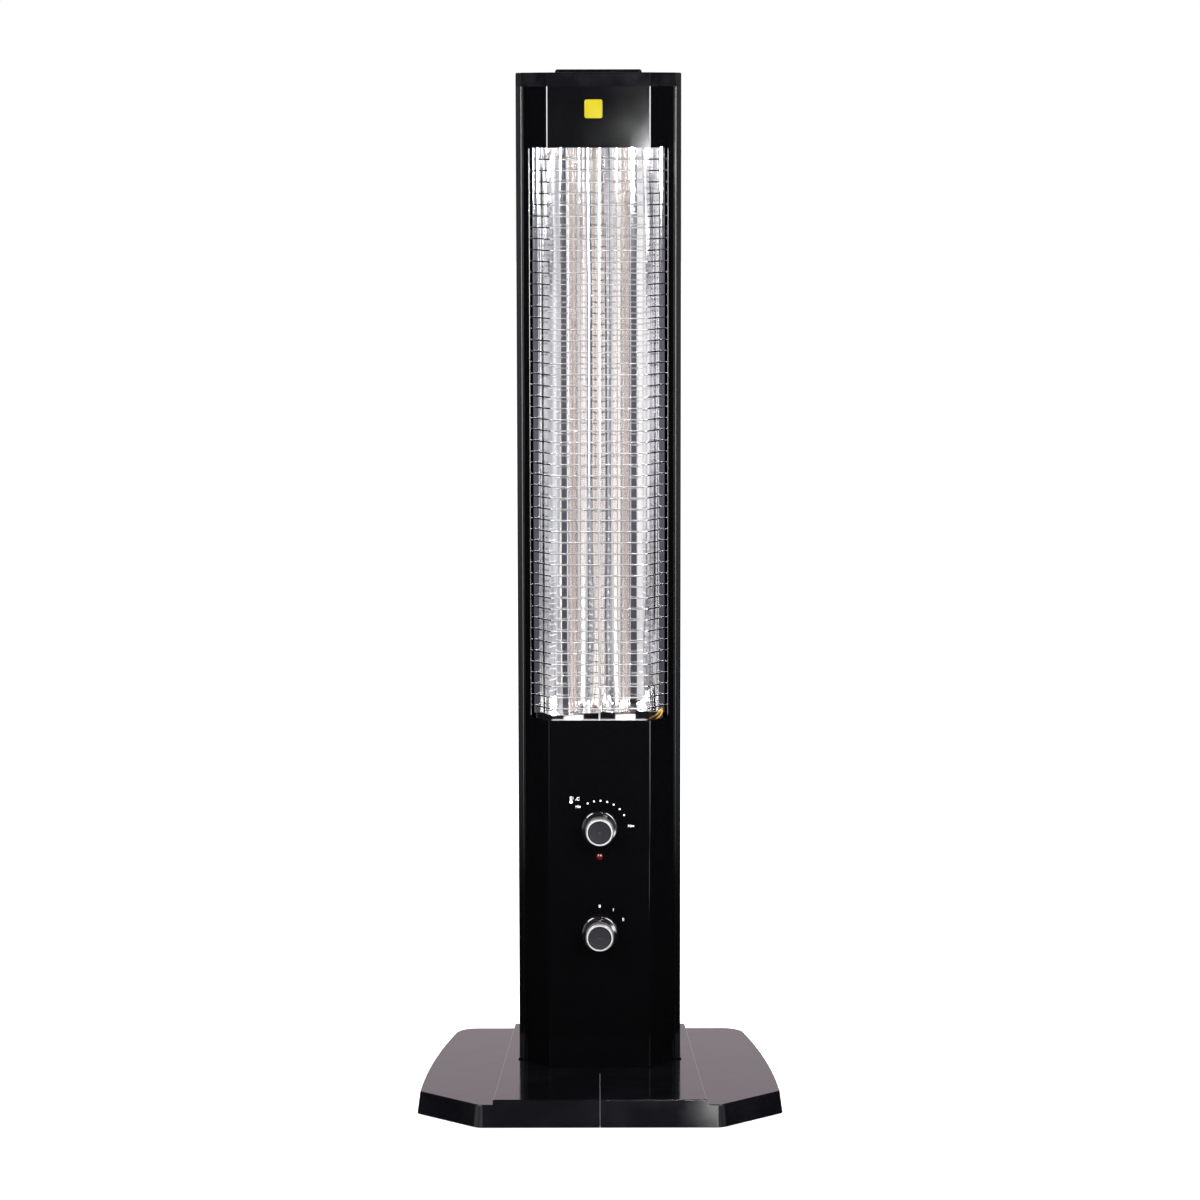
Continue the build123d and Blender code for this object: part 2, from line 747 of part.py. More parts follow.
# Guard: level wires bent back along the chamfers, welded to three upright posts
guard_y = tower_front_y + guard_behind
guard_end_y = guard_y + (guard_end_half - guard_flat_half) * chamfer_depth / chamfer_run
guard_first_z = opening_bottom + guard_first_above_lip
guard_reach = opening_height - guard_first_above_lip - guard_last_below_lip
guard_pitch = guard_reach / (guard_wire_count - 1)
guard_heights = [guard_first_z + guard_pitch * i for i in range(guard_wire_count)]
post_step = guard_wire / 2 + guard_post / 2 - guard_weld
side_post = Vector(guard_end_half, guard_end_y) - chamfer_way * guard_post / 2
side_post = side_post - chamfer_inward * post_step
with BuildPart() as guard_row:
    with BuildLine():
        row_line = FilletPolyline(
            (-guard_end_half, guard_end_y),
            (-guard_flat_half, guard_y),
            (guard_flat_half, guard_y),
            (guard_end_half, guard_end_y),
            radius=guard_bend,
        )
    with BuildSketch(Plane(origin=row_line @ 0, z_dir=row_line % 0)):
        Circle(guard_wire / 2)
    sweep(path=row_line)
with BuildPart() as guard:
    with Locations(*[(0, 0, z) for z in guard_heights]):
        add(guard_row.part)
    with BuildSketch(Plane.XY.offset(opening_bottom)):
        with Locations((0, guard_y + post_step)):
            Circle(guard_post / 2)
    extrude(amount=opening_height)
    with BuildSketch(Plane.XY.offset(opening_bottom + sheet)):
        with Locations((-side_post.X, side_post.Y), (side_post.X, side_post.Y)):
            Circle(guard_post / 2)
    extrude(amount=opening_height - 2 * sheet)
save("guard", guard.part)

# Clips behind the chamfers that hook round the guard's side posts
sheet_line = Vector(front_half, tower_front_y) + chamfer_inward * sheet
post_along = (side_post - sheet_line).dot(chamfer_way)
post_depth = (side_post - sheet_line).dot(chamfer_inward)
clip_start = post_along + guard_post / 2 + sheet_gap
clip_reach = post_depth + guard_post / 2 + sheet_gap
clip_shape = [
    (clip_start, 0),
    (clip_start + clip_foot, 0),
    (clip_start + clip_foot, clip_steel),
    (clip_start + clip_steel, clip_steel),
    (clip_start + clip_steel, clip_reach + clip_steel),
    (clip_start - guard_post, clip_reach + clip_steel),
    (clip_start - guard_post, clip_reach),
    (clip_start, clip_reach),
]
clip_points = [sheet_line + chamfer_way * a + chamfer_inward * b for a, b in clip_shape]
clip_rows = (guard_wire_count // 6, guard_wire_count // 2, guard_wire_count - guard_wire_count // 6)
with BuildPart() as guard_clips:
    for row in clip_rows:
        clip_z = guard_heights[row] + guard_pitch / 2 - clip_height / 2
        with BuildSketch(Plane.XY.offset(clip_z)):
            with BuildLine():
                Polyline(*[(p.X, p.Y) for p in clip_points], close=True)
            make_face()
            mirror(about=Plane.YZ)
        extrude(amount=clip_height)
save("guard_clips", guard_clips.part)

# Channel behind the reflector, open to the front
channel_bottom = bracket_low_top - bracket_steel
channel_height = bracket_high_bottom + bracket_steel - channel_bottom
channel_points = [
    (-channel_half, channel_front_y),
    (-channel_half, channel_back_y),
    (channel_half, channel_back_y),
    (channel_half, channel_front_y),
]
with BuildPart() as reflector_channel:
    with BuildSketch(Plane.XY.offset(channel_bottom)):
        add(bent_strip(channel_points, bend_radius, channel_steel, Side.RIGHT))
    extrude(amount=channel_height)
    with BuildSketch(Plane.XZ.offset(-channel_back_y)):
        with Locations(*spacer_places):
            Circle(side_screw_radius + sheet_gap)
    extrude(amount=2 * channel_steel, mode=Mode.SUBTRACT)
save("reflector_channel", reflector_channel.part)

# Spacers between the channel and the back of the housing
with BuildPart() as channel_spacers:
    with BuildSketch(Plane.XZ.offset(-channel_back_y)):
        with Locations(*spacer_places):
            Circle(spacer_radius)
    extrude(amount=-(back_inner_y - channel_back_y))
    with BuildSketch(Plane.XZ.offset(-back_inner_y)):
        with Locations(*spacer_places):
            Circle(side_screw_radius + sheet_gap)
    extrude(amount=side_screw_length, mode=Mode.SUBTRACT)
save("channel_spacers", channel_spacers.part)

# End plates of the reflector, inside the channel
channel_inner = channel_half - channel_steel
channel_floor_y = channel_back_y - channel_steel
end_plates = (
    ("reflector_plate_bottom", plate_low_bottom),
    ("reflector_plate_top", plate_high_bottom),
)
for name, level in end_plates:
    with BuildPart() as end_plate:
        with BuildSketch(Plane.XY.offset(level)) as end_plate_sketch:
            with BuildLine():
                right = [
                    (plate_front_half, plate_front_y),
                    (channel_inner, channel_front_y),
                    (channel_inner, channel_floor_y),
                ]
                Polyline(*right, *[(-x, y) for x, y in reversed(right)], close=True)
            make_face()
            fillet(end_plate_sketch.vertices().group_by(Axis.Y)[-1], bend_radius)
            with Locations((-tube_half, tube_y), (tube_half, tube_y)):
                Circle(tube_radius + plate_hole_gap, mode=Mode.SUBTRACT)
        extrude(amount=plate_steel)
    save(name, end_plate.part)

# Reflector: two faceted troughs with a ridge between them, front face towards the tubes
right_trough = [
    (reflector_inner_half, (reflector_floor_y + reflector_ridge_y) / 2),
    (2 * tube_half - reflector_floor_half, reflector_floor_y),
    (reflector_floor_half, reflector_floor_y),
    (reflector_flank_half, reflector_flank_y),
    (reflector_edge_half, reflector_edge_y),
]
left_trough = [(-x, y) for x, y in reversed(right_trough)]
with BuildPart() as reflector:
    with BuildSketch(Plane.XY.offset(plate_low_top)):
        add(
            bent_strip(
                [*left_trough, (0, reflector_ridge_y), *right_trough],
                reflector_bend,
                reflector_sheet,
                Side.LEFT,
            )
        )
    extrude(amount=plate_high_bottom - plate_low_top)
save("reflector", reflector.part)

# Ceramic caps, quartz tubes and coils, left and right
tube_bottom = plate_low_bottom - tube_socket
tube_top = plate_high_top + tube_socket - tube_play
for name, side in half_names:
    axis = (side * tube_half, tube_y)
    with BuildPart() as quartz_tube:
        with BuildSketch(Plane.XY.offset(tube_bottom)):
            with Locations(axis):
                Circle(tube_radius)
                Circle(tube_radius - tube_wall, mode=Mode.SUBTRACT)
        extrude(amount=tube_top - tube_bottom)
    save(f"quartz_tube_{name}", quartz_tube.part)
    # Envelope of the wound coil, standing in the lower cap's socket
    with BuildPart() as heating_coil:
        with BuildSketch(Plane.XY.offset(tube_bottom)):
            with Locations(axis):
                Circle(coil_radius)
                Circle(coil_radius - coil_wire, mode=Mode.SUBTRACT)
        extrude(amount=tube_top - tube_bottom)
    save(f"heating_coil_{name}", heating_coil.part)
    for end, level, mouth, tail in (
        ("lower", plate_low_bottom - cap_block, plate_low_bottom - tube_socket, -1),
        ("upper", plate_high_top, plate_high_top, 1),
    ):
        with BuildPart() as end_cap:
            with BuildSketch(Plane.XY.offset(level)):
                with Locations(axis):
                    RectangleRounded(cap_width, cap_length, cap_corner)
            extrude(amount=cap_block)
            with BuildSketch(Plane.XY.offset(mouth)):
                with Locations(axis):
                    Circle(tube_radius + socket_gap)
            extrude(amount=tube_socket, mode=Mode.SUBTRACT)
            # Contact pin through the bracket, on the far side from the tube
            pin_start = level if tail < 0 else level + cap_block
            with BuildSketch(Plane.XY.offset(pin_start)):
                with Locations(axis):
                    Circle(pin_radius)
            extrude(amount=tail * pin_length)
        save(f"end_cap_{end}_{name}", end_cap.part)

# Brackets that carry the ceramic caps across the channel
for name, level, turn in (
    ("tube_bracket_lower", bracket_low_top - bracket_steel, -1),
    ("tube_bracket_upper", bracket_high_bottom, 1),
):
    with BuildPart() as tube_bracket:
        with BuildSketch(Plane.XY.offset(level)):
            with BuildLine():
                right = [
                    (tube_half + cap_width / 2, tube_y - cap_length / 2 - bracket_front),
                    (channel_inner, channel_front_y),
                    (channel_inner, bracket_back_y),
                ]
                Polyline(*right, *[(-x, y) for x, y in reversed(right)], close=True)
            make_face()
            with Locations((-tube_half, tube_y), (tube_half, tube_y)):
                Circle(pin_radius + hole_gap, mode=Mode.SUBTRACT)
        extrude(amount=bracket_steel)
        flange_x = channel_inner - bracket_steel / 2
        with BuildSketch(Plane.XY.offset(level if turn > 0 else level + bracket_steel)):
            with Locations(
                (-flange_x, channel_front_y + bracket_flange),
                (flange_x, channel_front_y + bracket_flange),
            ):
                Rectangle(bracket_steel, 2 * bracket_flange)
        extrude(amount=turn * bracket_flange)
    save(name, tube_bracket.part)

# Thermal cut-out under the lower bracket
cutout_top = bracket_low_top - bracket_steel
cutout_bottom = cutout_top - cutout_height
with BuildPart() as thermal_cutout:
    with BuildSketch(Plane.XY.offset(cutout_bottom + cutout_height / 3)):
        with Locations((0, cutout_y)):
            Circle(cutout_radius)
    extrude(amount=cutout_height - cutout_height / 3)
    with BuildSketch(Plane.XY.offset(cutout_bottom)):
        with Locations((-cutout_radius / 2, cutout_y), (cutout_radius / 2, cutout_y)):
            RectangleRounded(2 * lead_boot_radius, 2 * lead_boot_radius, lead_boot_radius / 2)
    extrude(amount=cutout_height / 3)
save("thermal_cutout", thermal_cutout.part)

# Thermostat and selector: a body behind the panel, a spindle through it, a knob in front
panel_inside = Plane.XZ.offset(-panel_inner_y)
knob_hub_start = control_neck_reach + knob_gap
knob_face_floor = knob_height - face_recess - face_thickness
knob_body_top = knob_height - sleeve_lip
controls = (
    ("thermostat", thermostat_z, thermostat_depth, pointer_turn),
    ("selector", selector_z, selector_depth, 0.0),
)
for name, level, depth, turn in controls:
    knob_axis = Axis((0, tower_front_y, level), (0, 1, 0))
    profile_plane = Plane(origin=(0, tower_front_y, level), x_dir=(1, 0, 0), z_dir=(0, 0, -1))
    with BuildPart() as control_body:
        with BuildSketch(panel_inside):
            with Locations((0, level)):
                RectangleRounded(2 * control_half, 2 * control_half, bend_radius)
        extrude(amount=-depth)
        with BuildSketch(panel_inside):
            with Locations((0, level)):
                Circle(control_neck_radius)
        extrude(amount=sheet + control_neck_reach)
        with BuildSketch(panel_inside.offset(sheet + control_neck_reach)):
            with Locations((0, level)):
                Circle(spindle_radius + spindle_running_gap)
        extrude(amount=-(sheet + control_neck_reach + spindle_seat), mode=Mode.SUBTRACT)
        with BuildSketch(panel_inside):
            with Locations((-screw_side, level), (screw_side, level)):
                Circle(screw_radius + sheet_gap)
        extrude(amount=-(side_screw_length + sheet_gap), mode=Mode.SUBTRACT)
    save(f"{name}_body", control_body.part)

    with BuildPart() as spindle:
        with BuildSketch(panel_inside.offset(spindle_end_gap - spindle_seat)):
            with Locations((0, level)):
                Circle(spindle_radius)
        extrude(amount=spindle_seat - spindle_end_gap + sheet + spindle_reach)
        # Flat on the end that the knob pushes on to
        with BuildSketch(panel_inside.offset(sheet + spindle_reach)):
            with Locations((0, level + spindle_radius)):
                Rectangle(2 * spindle_radius, spindle_radius / 2)
        extrude(amount=-(spindle_reach - knob_hub_start - knob_gap), mode=Mode.SUBTRACT)
    save(f"{name}_spindle", spindle.part)

    with BuildPart() as knob:
        with BuildSketch(profile_plane):
            with BuildLine():
                Polyline(
                    (0, spindle_reach + sheet_gap),
                    (spindle_radius + sheet_gap, spindle_reach + sheet_gap),
                    (spindle_radius + sheet_gap, knob_hub_start),
                    (knob_hub_radius, knob_hub_start),
                    (knob_hub_radius, knob_gap + knob_cavity_depth),
                    (knob_cavity_radius, knob_gap + knob_cavity_depth),
                    (knob_cavity_radius, knob_gap),
                    (knob_rim_radius, knob_gap),
                    (knob_rim_radius, knob_gap + knob_rim_height),
                    (knob_body_radius, knob_gap + knob_rim_height + knob_dish_rise),
                    (knob_body_radius, knob_body_top),
                    (face_radius + sleeve_gap, knob_body_top),
                    (face_radius + sleeve_gap, knob_face_floor),
                    (0, knob_face_floor),
                    close=True,
                )
            make_face()
        revolve(axis=knob_axis)
        rim_edges = knob.edges().filter_by(GeomType.CIRCLE)
        rim_edges = [e for e in rim_edges if abs(e.radius - knob_rim_radius) < sheet_gap]
        fillet(sorted(rim_edges, key=lambda e: e.center().Y)[0], knob_rim_round)
        # Pointer rib at the root of the knob
        with BuildSketch(Plane(
            origin=(0, tower_front_y - pointer_start, level),
            x_dir=(cos(radians(turn)), 0, -sin(radians(turn))),
            z_dir=(0, -1, 0),
        )):
            with Locations((0, (knob_hub_radius + pointer_radius) / 2)):
                Rectangle(pointer_width, pointer_radius - knob_hub_radius)
        extrude(amount=sleeve_start - pointer_start - sleeve_gap)
    save(f"{name}_knob", knob.part)

    with BuildPart() as sleeve:
        with BuildSketch(profile_plane):
            with BuildLine():
                Polyline(
                    (knob_body_radius + sleeve_gap, sleeve_start),
                    (sleeve_radius, sleeve_start),
                    (sleeve_radius, knob_height - sleeve_bevel),
                    (sleeve_radius - sleeve_bevel, knob_height),
                    (face_radius + sleeve_gap, knob_height),
                    (face_radius + sleeve_gap, knob_body_top),
                    (knob_body_radius + sleeve_gap, knob_body_top),
                    close=True,
                )
            make_face()
        revolve(axis=knob_axis)
    save(f"{name}_knob_sleeve", sleeve.part)

    with BuildPart() as knob_face:
        with BuildSketch(profile_plane):
            with BuildLine():
                top = knob_face_floor + face_thickness
                Line((0, knob_face_floor), (face_radius, knob_face_floor))
                Line((face_radius, knob_face_floor), (face_radius, top - face_dish))
                Line((face_radius, top - face_dish), (face_radius - face_dish, top))
                across, drop = crown_middle(face_radius - face_dish, face_dish)
                ThreePointArc(
                    (face_radius - face_dish, top),
                    (across, top - face_dish + drop),
                    (0, top - face_dish),
                )
                Line((0, top - face_dish), (0, knob_face_floor))
            make_face()
        revolve(axis=knob_axis)
    save(f"{name}_knob_face", knob_face.part)

# Screws that hold both controls to the panel, hidden inside the knobs
control_screw_places = [
    (x, z) for x in (-screw_side, screw_side) for z in (thermostat_z, selector_z)
]
with BuildPart() as control_screws:
    with BuildSketch(front_plane):
        with Locations(*control_screw_places):
            Circle(screw_head_radius)
    extrude(amount=screw_head_height)
    with BuildSketch(front_plane):
        with Locations(*control_screw_places):
            Circle(screw_radius)
    extrude(amount=-(sheet + side_screw_length))
save("control_screws", control_screws.part)

# Pilot lamp: a domed lens through the panel and its body behind
lamp_axis = Axis((0, tower_front_y, lamp_z), (0, 1, 0))
lamp_plane = Plane(origin=(0, tower_front_y, lamp_z), x_dir=(1, 0, 0), z_dir=(0, 0, -1))
with BuildPart() as pilot_lens:
    with BuildSketch(lamp_plane):
        with BuildLine():
            Line((0, -lens_neck), (lens_radius, -lens_neck))
            Line((lens_radius, -lens_neck), (lens_radius, lens_dome / 4))
            across, drop = crown_middle(lens_radius, 3 * lens_dome / 4)
            ThreePointArc(
                (lens_radius, lens_dome / 4),
                (across, lens_dome - drop),
                (0, lens_dome),
            )
            Line((0, lens_dome), (0, -lens_neck))
        make_face()
    revolve(axis=lamp_axis)
save("pilot_lens", pilot_lens.part)

with BuildPart() as pilot_body:
    with BuildSketch(panel_inside):
        with Locations((0, lamp_z)):
            Circle(lamp_body_radius)
    extrude(amount=-lamp_body_length)
    with BuildSketch(panel_inside):
        with Locations((0, lamp_z)):
            Circle(lens_radius + lamp_hole_gap)
    extrude(amount=-(lens_neck - sheet), mode=Mode.SUBTRACT)
    with BuildSketch(panel_inside.offset(-lamp_body_length)):
        with Locations((-lamp_body_radius / 2, lamp_z), (lamp_body_radius / 2, lamp_z)):
            Rectangle(sheet, lamp_body_radius / 2)
    extrude(amount=-lamp_body_radius)
save("pilot_body", pilot_body.part)

# Terminal block on the inside of the housing's back
terminal_y = back_inner_y - terminal_depth / 2
terminal_xs = (-terminal_pitch, 0, terminal_pitch)
terminal_face = Plane.XZ.offset(-(back_inner_y - terminal_depth))
with BuildPart() as terminal_block:
    with BuildSketch(Plane.XY.offset(terminal_z)):
        with Locations((0, terminal_y)):
            Rectangle(terminal_width, terminal_depth)
    extrude(amount=terminal_height / 2, both=True)
    with BuildSketch(terminal_face):
        with Locations(*[(x, terminal_z) for x in terminal_xs]):
            Circle(terminal_screw_radius + sheet_gap)
    extrude(amount=-terminal_depth / 3, mode=Mode.SUBTRACT)
    with BuildSketch(Plane.XY.offset(terminal_z - terminal_height / 2)):
        with Locations(*[(x, terminal_y) for x in terminal_xs]):
            Circle(lead_boot_radius)
    extrude(amount=terminal_height / 4, mode=Mode.SUBTRACT)
    chamfer(terminal_block.edges().filter_by(Axis.X).sort_by(Axis.Y)[:2], sheet)
save("terminal_block", terminal_block.part)

with BuildPart() as terminal_screws:
    with BuildSketch(terminal_face.offset(-terminal_depth / 3)):
        with Locations(*[(x, terminal_z) for x in terminal_xs]):
            Circle(terminal_screw_radius)
            Rectangle(2 * terminal_screw_radius, sheet / 2, mode=Mode.SUBTRACT)
    extrude(amount=terminal_depth / 3 - terminal_screw_height)
    with BuildSketch(terminal_face.offset(-terminal_depth / 3)):
        with Locations(*[(x, terminal_z) for x in terminal_xs]):
            Circle(terminal_screw_radius)
    extrude(amount=terminal_screw_height)
save("terminal_screws", terminal_screws.part)

# Cable gland in the back, with its nut inside
gland_length = gland_inside + sheet + gland_flange + gland_collar
with BuildPart() as cable_gland:
    with BuildSketch(gland_plane.offset(back_inner_y - gland_inside)):
        Circle(gland_neck_radius)
    extrude(amount=gland_inside + sheet)
    with BuildSketch(gland_plane.offset(tower_back_y)):
        Circle(gland_flange_radius)
    extrude(amount=gland_flange)
    fillet(cable_gland.edges().group_by(Axis.Y)[-1], gland_flange / 3)
    with BuildSketch(gland_plane.offset(tower_back_y + gland_flange)):
        Circle(gland_collar_radius)
    extrude(amount=gland_collar)
    with BuildSketch(gland_plane.offset(back_inner_y - gland_inside)):
        Circle(gland_bore_radius)
    extrude(amount=gland_length, mode=Mode.SUBTRACT)
save("cable_gland", cable_gland.part)

with BuildPart() as gland_nut:
    with BuildSketch(gland_plane.offset(back_inner_y - gland_nut_height)):
        RegularPolygon(gland_flange_radius, 6)
        Circle(gland_neck_radius + sheet_gap, mode=Mode.SUBTRACT)
    extrude(amount=gland_nut_height)
save("gland_nut", gland_nut.part)

# Leads: straight runs joined by arcs, as large as the runs beside them allow
thermostat_back_y = panel_inner_y + thermostat_depth
selector_back_y = panel_inner_y + selector_depth
terminal_top = terminal_z + terminal_height / 2
terminal_low = terminal_z - terminal_height / 2
pin_low = plate_low_bottom - cap_block - pin_length
pin_high = plate_high_top + cap_block + pin_length
riser_y = (channel_back_y + back_inner_y) / 2
side_tap = control_half / 2
lead_routes = {
    "lead_line": [
        (-terminal_pitch, terminal_y, terminal_top),
        (-terminal_pitch, terminal_y, terminal_top + 24),
        (-side_tap - 2, terminal_y - 22, terminal_top + 62),
        (-side_tap - 1, thermostat_back_y + 46, thermostat_z - 40),
        (-side_tap, thermostat_back_y + 24, thermostat_z - side_tap),
        (-side_tap, thermostat_back_y, thermostat_z - side_tap),
    ],
    "lead_thermostat": [
        (side_tap, thermostat_back_y, thermostat_z + side_tap),
        (side_tap, thermostat_back_y + 20, thermostat_z + side_tap),
        (side_tap - 2, cutout_y - 3, thermostat_z + 34),
        (cutout_radius / 2, cutout_y, cutout_bottom - 18),
        (cutout_radius / 2, cutout_y, cutout_bottom),
    ],
    "lead_cutout": [
        (-cutout_radius / 2, cutout_y, cutout_bottom),
        (-cutout_radius / 2, cutout_y, cutout_bottom - 20),
        (-side_tap - 9, cutout_y + 4, thermostat_z + 20),
        (-side_tap - 13, cutout_y + 2, thermostat_z - 36),
        (-side_tap - 8, cutout_y - 2, selector_z + 36),
        (-side_tap, selector_back_y + 20, selector_z + side_tap),
        (-side_tap, selector_back_y, selector_z + side_tap),
    ],
    "lead_tube_left": [
        (-side_tap, selector_back_y, selector_z - side_tap),
        (-side_tap, selector_back_y + 14, selector_z - side_tap),
        (-side_tap - 22, selector_back_y + 16, selector_z + 14),
        (-tube_half - 10, tube_y + 14, thermostat_z - 60),
        (-tube_half - 13, tube_y + 8, thermostat_z),
        (-tube_half, tube_y, pin_low - 26),
        (-tube_half, tube_y, pin_low),
    ],
    "lead_tube_right": [
        (side_tap, selector_back_y, selector_z + side_tap),
        (side_tap, selector_back_y + 14, selector_z + side_tap),
        (side_tap + 20, selector_back_y + 16, selector_z + 34),
        (tube_half + 11, tube_y + 12, thermostat_z - 34),
        (tube_half + 12, tube_y + 8, thermostat_z + 14),
        (tube_half, tube_y, pin_low - 24),
        (tube_half, tube_y, pin_low),
    ],
    "lead_neutral": [
        (terminal_pitch, terminal_y, terminal_top),
        (terminal_pitch, terminal_y, terminal_top + 26),
        (tube_half / 2, riser_y, terminal_top + 70),
        (tube_half / 2 - 5, riser_y, opening_middle),
        (tube_half / 2, riser_y, pin_high - 60),
        (tube_half / 2 + 6, riser_y - 1, pin_high - 20),
        (tube_half, riser_y - 16, pin_high + 2),
        (tube_half + 1, tube_y + 18, pin_high - 3),
        (tube_half, tube_y + pin_radius + 2 * sheet_gap, pin_high - pin_length / 2),
    ],
    "lead_jumper": [
        (-tube_half, tube_y, pin_high),
        (-tube_half, tube_y, pin_high + 10),
        (-tube_half / 2, tube_y - 2, pin_high + 19),
        (tube_half / 2, tube_y - 2, pin_high + 18),
        (tube_half, tube_y, pin_high + 10),
        (tube_half, tube_y, pin_high),
    ],
    "lead_tip_switch": [
        (tip_x, tip_y - tip_length / 2, foot_top / 2),
        (tip_x, tip_y - tip_length / 2 - 16, foot_top / 2),
        (tray_hole[0] + 12, tray_hole[1] + 20, foot_top / 2 - 2),
        (tray_hole[0], tray_hole[1], foot_top / 2 + 2),
        (tray_hole[0], tray_hole[1], strip_top + 16),
        (tray_hole[0] - 10, terminal_y - 1, terminal_low - 22),
        (0, terminal_y, terminal_low - 12),
        (0, terminal_y, terminal_low),
    ],
}
for name, route in lead_routes.items():
    points = [Vector(*point) for point in route]
    runs = [after - before for before, after in zip(points, points[1:])]
    radii = []
    for before, after in zip(runs, runs[1:]):
        reach = 0.45 * min(before.length, after.length)
        radii.append(reach / tan(radians(before.get_angle(after)) / 2))
    with BuildPart() as lead:
        with BuildLine():
            lead_line = FilletPolyline(*points, radius=radii)
        with BuildSketch(Plane(origin=lead_line @ 0, z_dir=lead_line % 0)):
            Circle(lead_radius)
        sweep(path=lead_line)
    save(name, lead.part)
    ratio = lead.part.volume / (lead_line.length * pi * lead_radius**2)
    print(name, round(lead_line.length), [round(r) for r in radii], round(ratio, 4))
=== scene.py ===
import bpy
import json
import math
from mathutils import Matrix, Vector, noise


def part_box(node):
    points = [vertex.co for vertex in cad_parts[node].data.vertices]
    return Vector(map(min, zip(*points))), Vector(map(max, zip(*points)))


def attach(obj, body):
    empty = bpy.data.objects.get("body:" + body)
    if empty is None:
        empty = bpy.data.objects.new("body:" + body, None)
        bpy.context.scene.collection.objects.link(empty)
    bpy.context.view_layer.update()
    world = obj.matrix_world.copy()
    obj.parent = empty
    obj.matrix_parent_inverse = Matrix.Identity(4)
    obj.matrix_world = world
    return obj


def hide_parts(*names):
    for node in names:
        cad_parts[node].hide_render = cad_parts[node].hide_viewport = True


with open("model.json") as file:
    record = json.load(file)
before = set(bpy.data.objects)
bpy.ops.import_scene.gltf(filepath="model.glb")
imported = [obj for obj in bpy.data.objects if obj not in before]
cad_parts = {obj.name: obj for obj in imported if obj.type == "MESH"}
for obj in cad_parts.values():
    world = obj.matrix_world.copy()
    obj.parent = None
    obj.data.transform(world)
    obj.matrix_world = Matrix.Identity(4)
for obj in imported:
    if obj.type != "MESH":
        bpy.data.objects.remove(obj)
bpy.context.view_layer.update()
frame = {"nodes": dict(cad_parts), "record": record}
mm = 0.001


# camera, floor and studio

cameraFit = {
    "place": (0.0, -3.845, 1.0196), "tilt": 82.46, "roll": -0.092, "lens": 114.09, "sensor": 36.0,
    "aside": 0.00066, "reach": 100.0,
}
bpy.ops.object.camera_add(location=cameraFit["place"], rotation=(math.radians(cameraFit["tilt"]), 0, 0))
camera = bpy.context.object
camera.name = "photoCamera"
camera.data.lens = cameraFit["lens"]
camera.data.sensor_width = cameraFit["sensor"]
camera.data.shift_x = cameraFit["aside"]
camera.rotation_euler.rotate_axis("Z", math.radians(cameraFit["roll"]))
camera.data.clip_end = cameraFit["reach"]
bpy.context.scene.camera = camera
bpy.context.scene.view_settings.view_transform = "Standard"

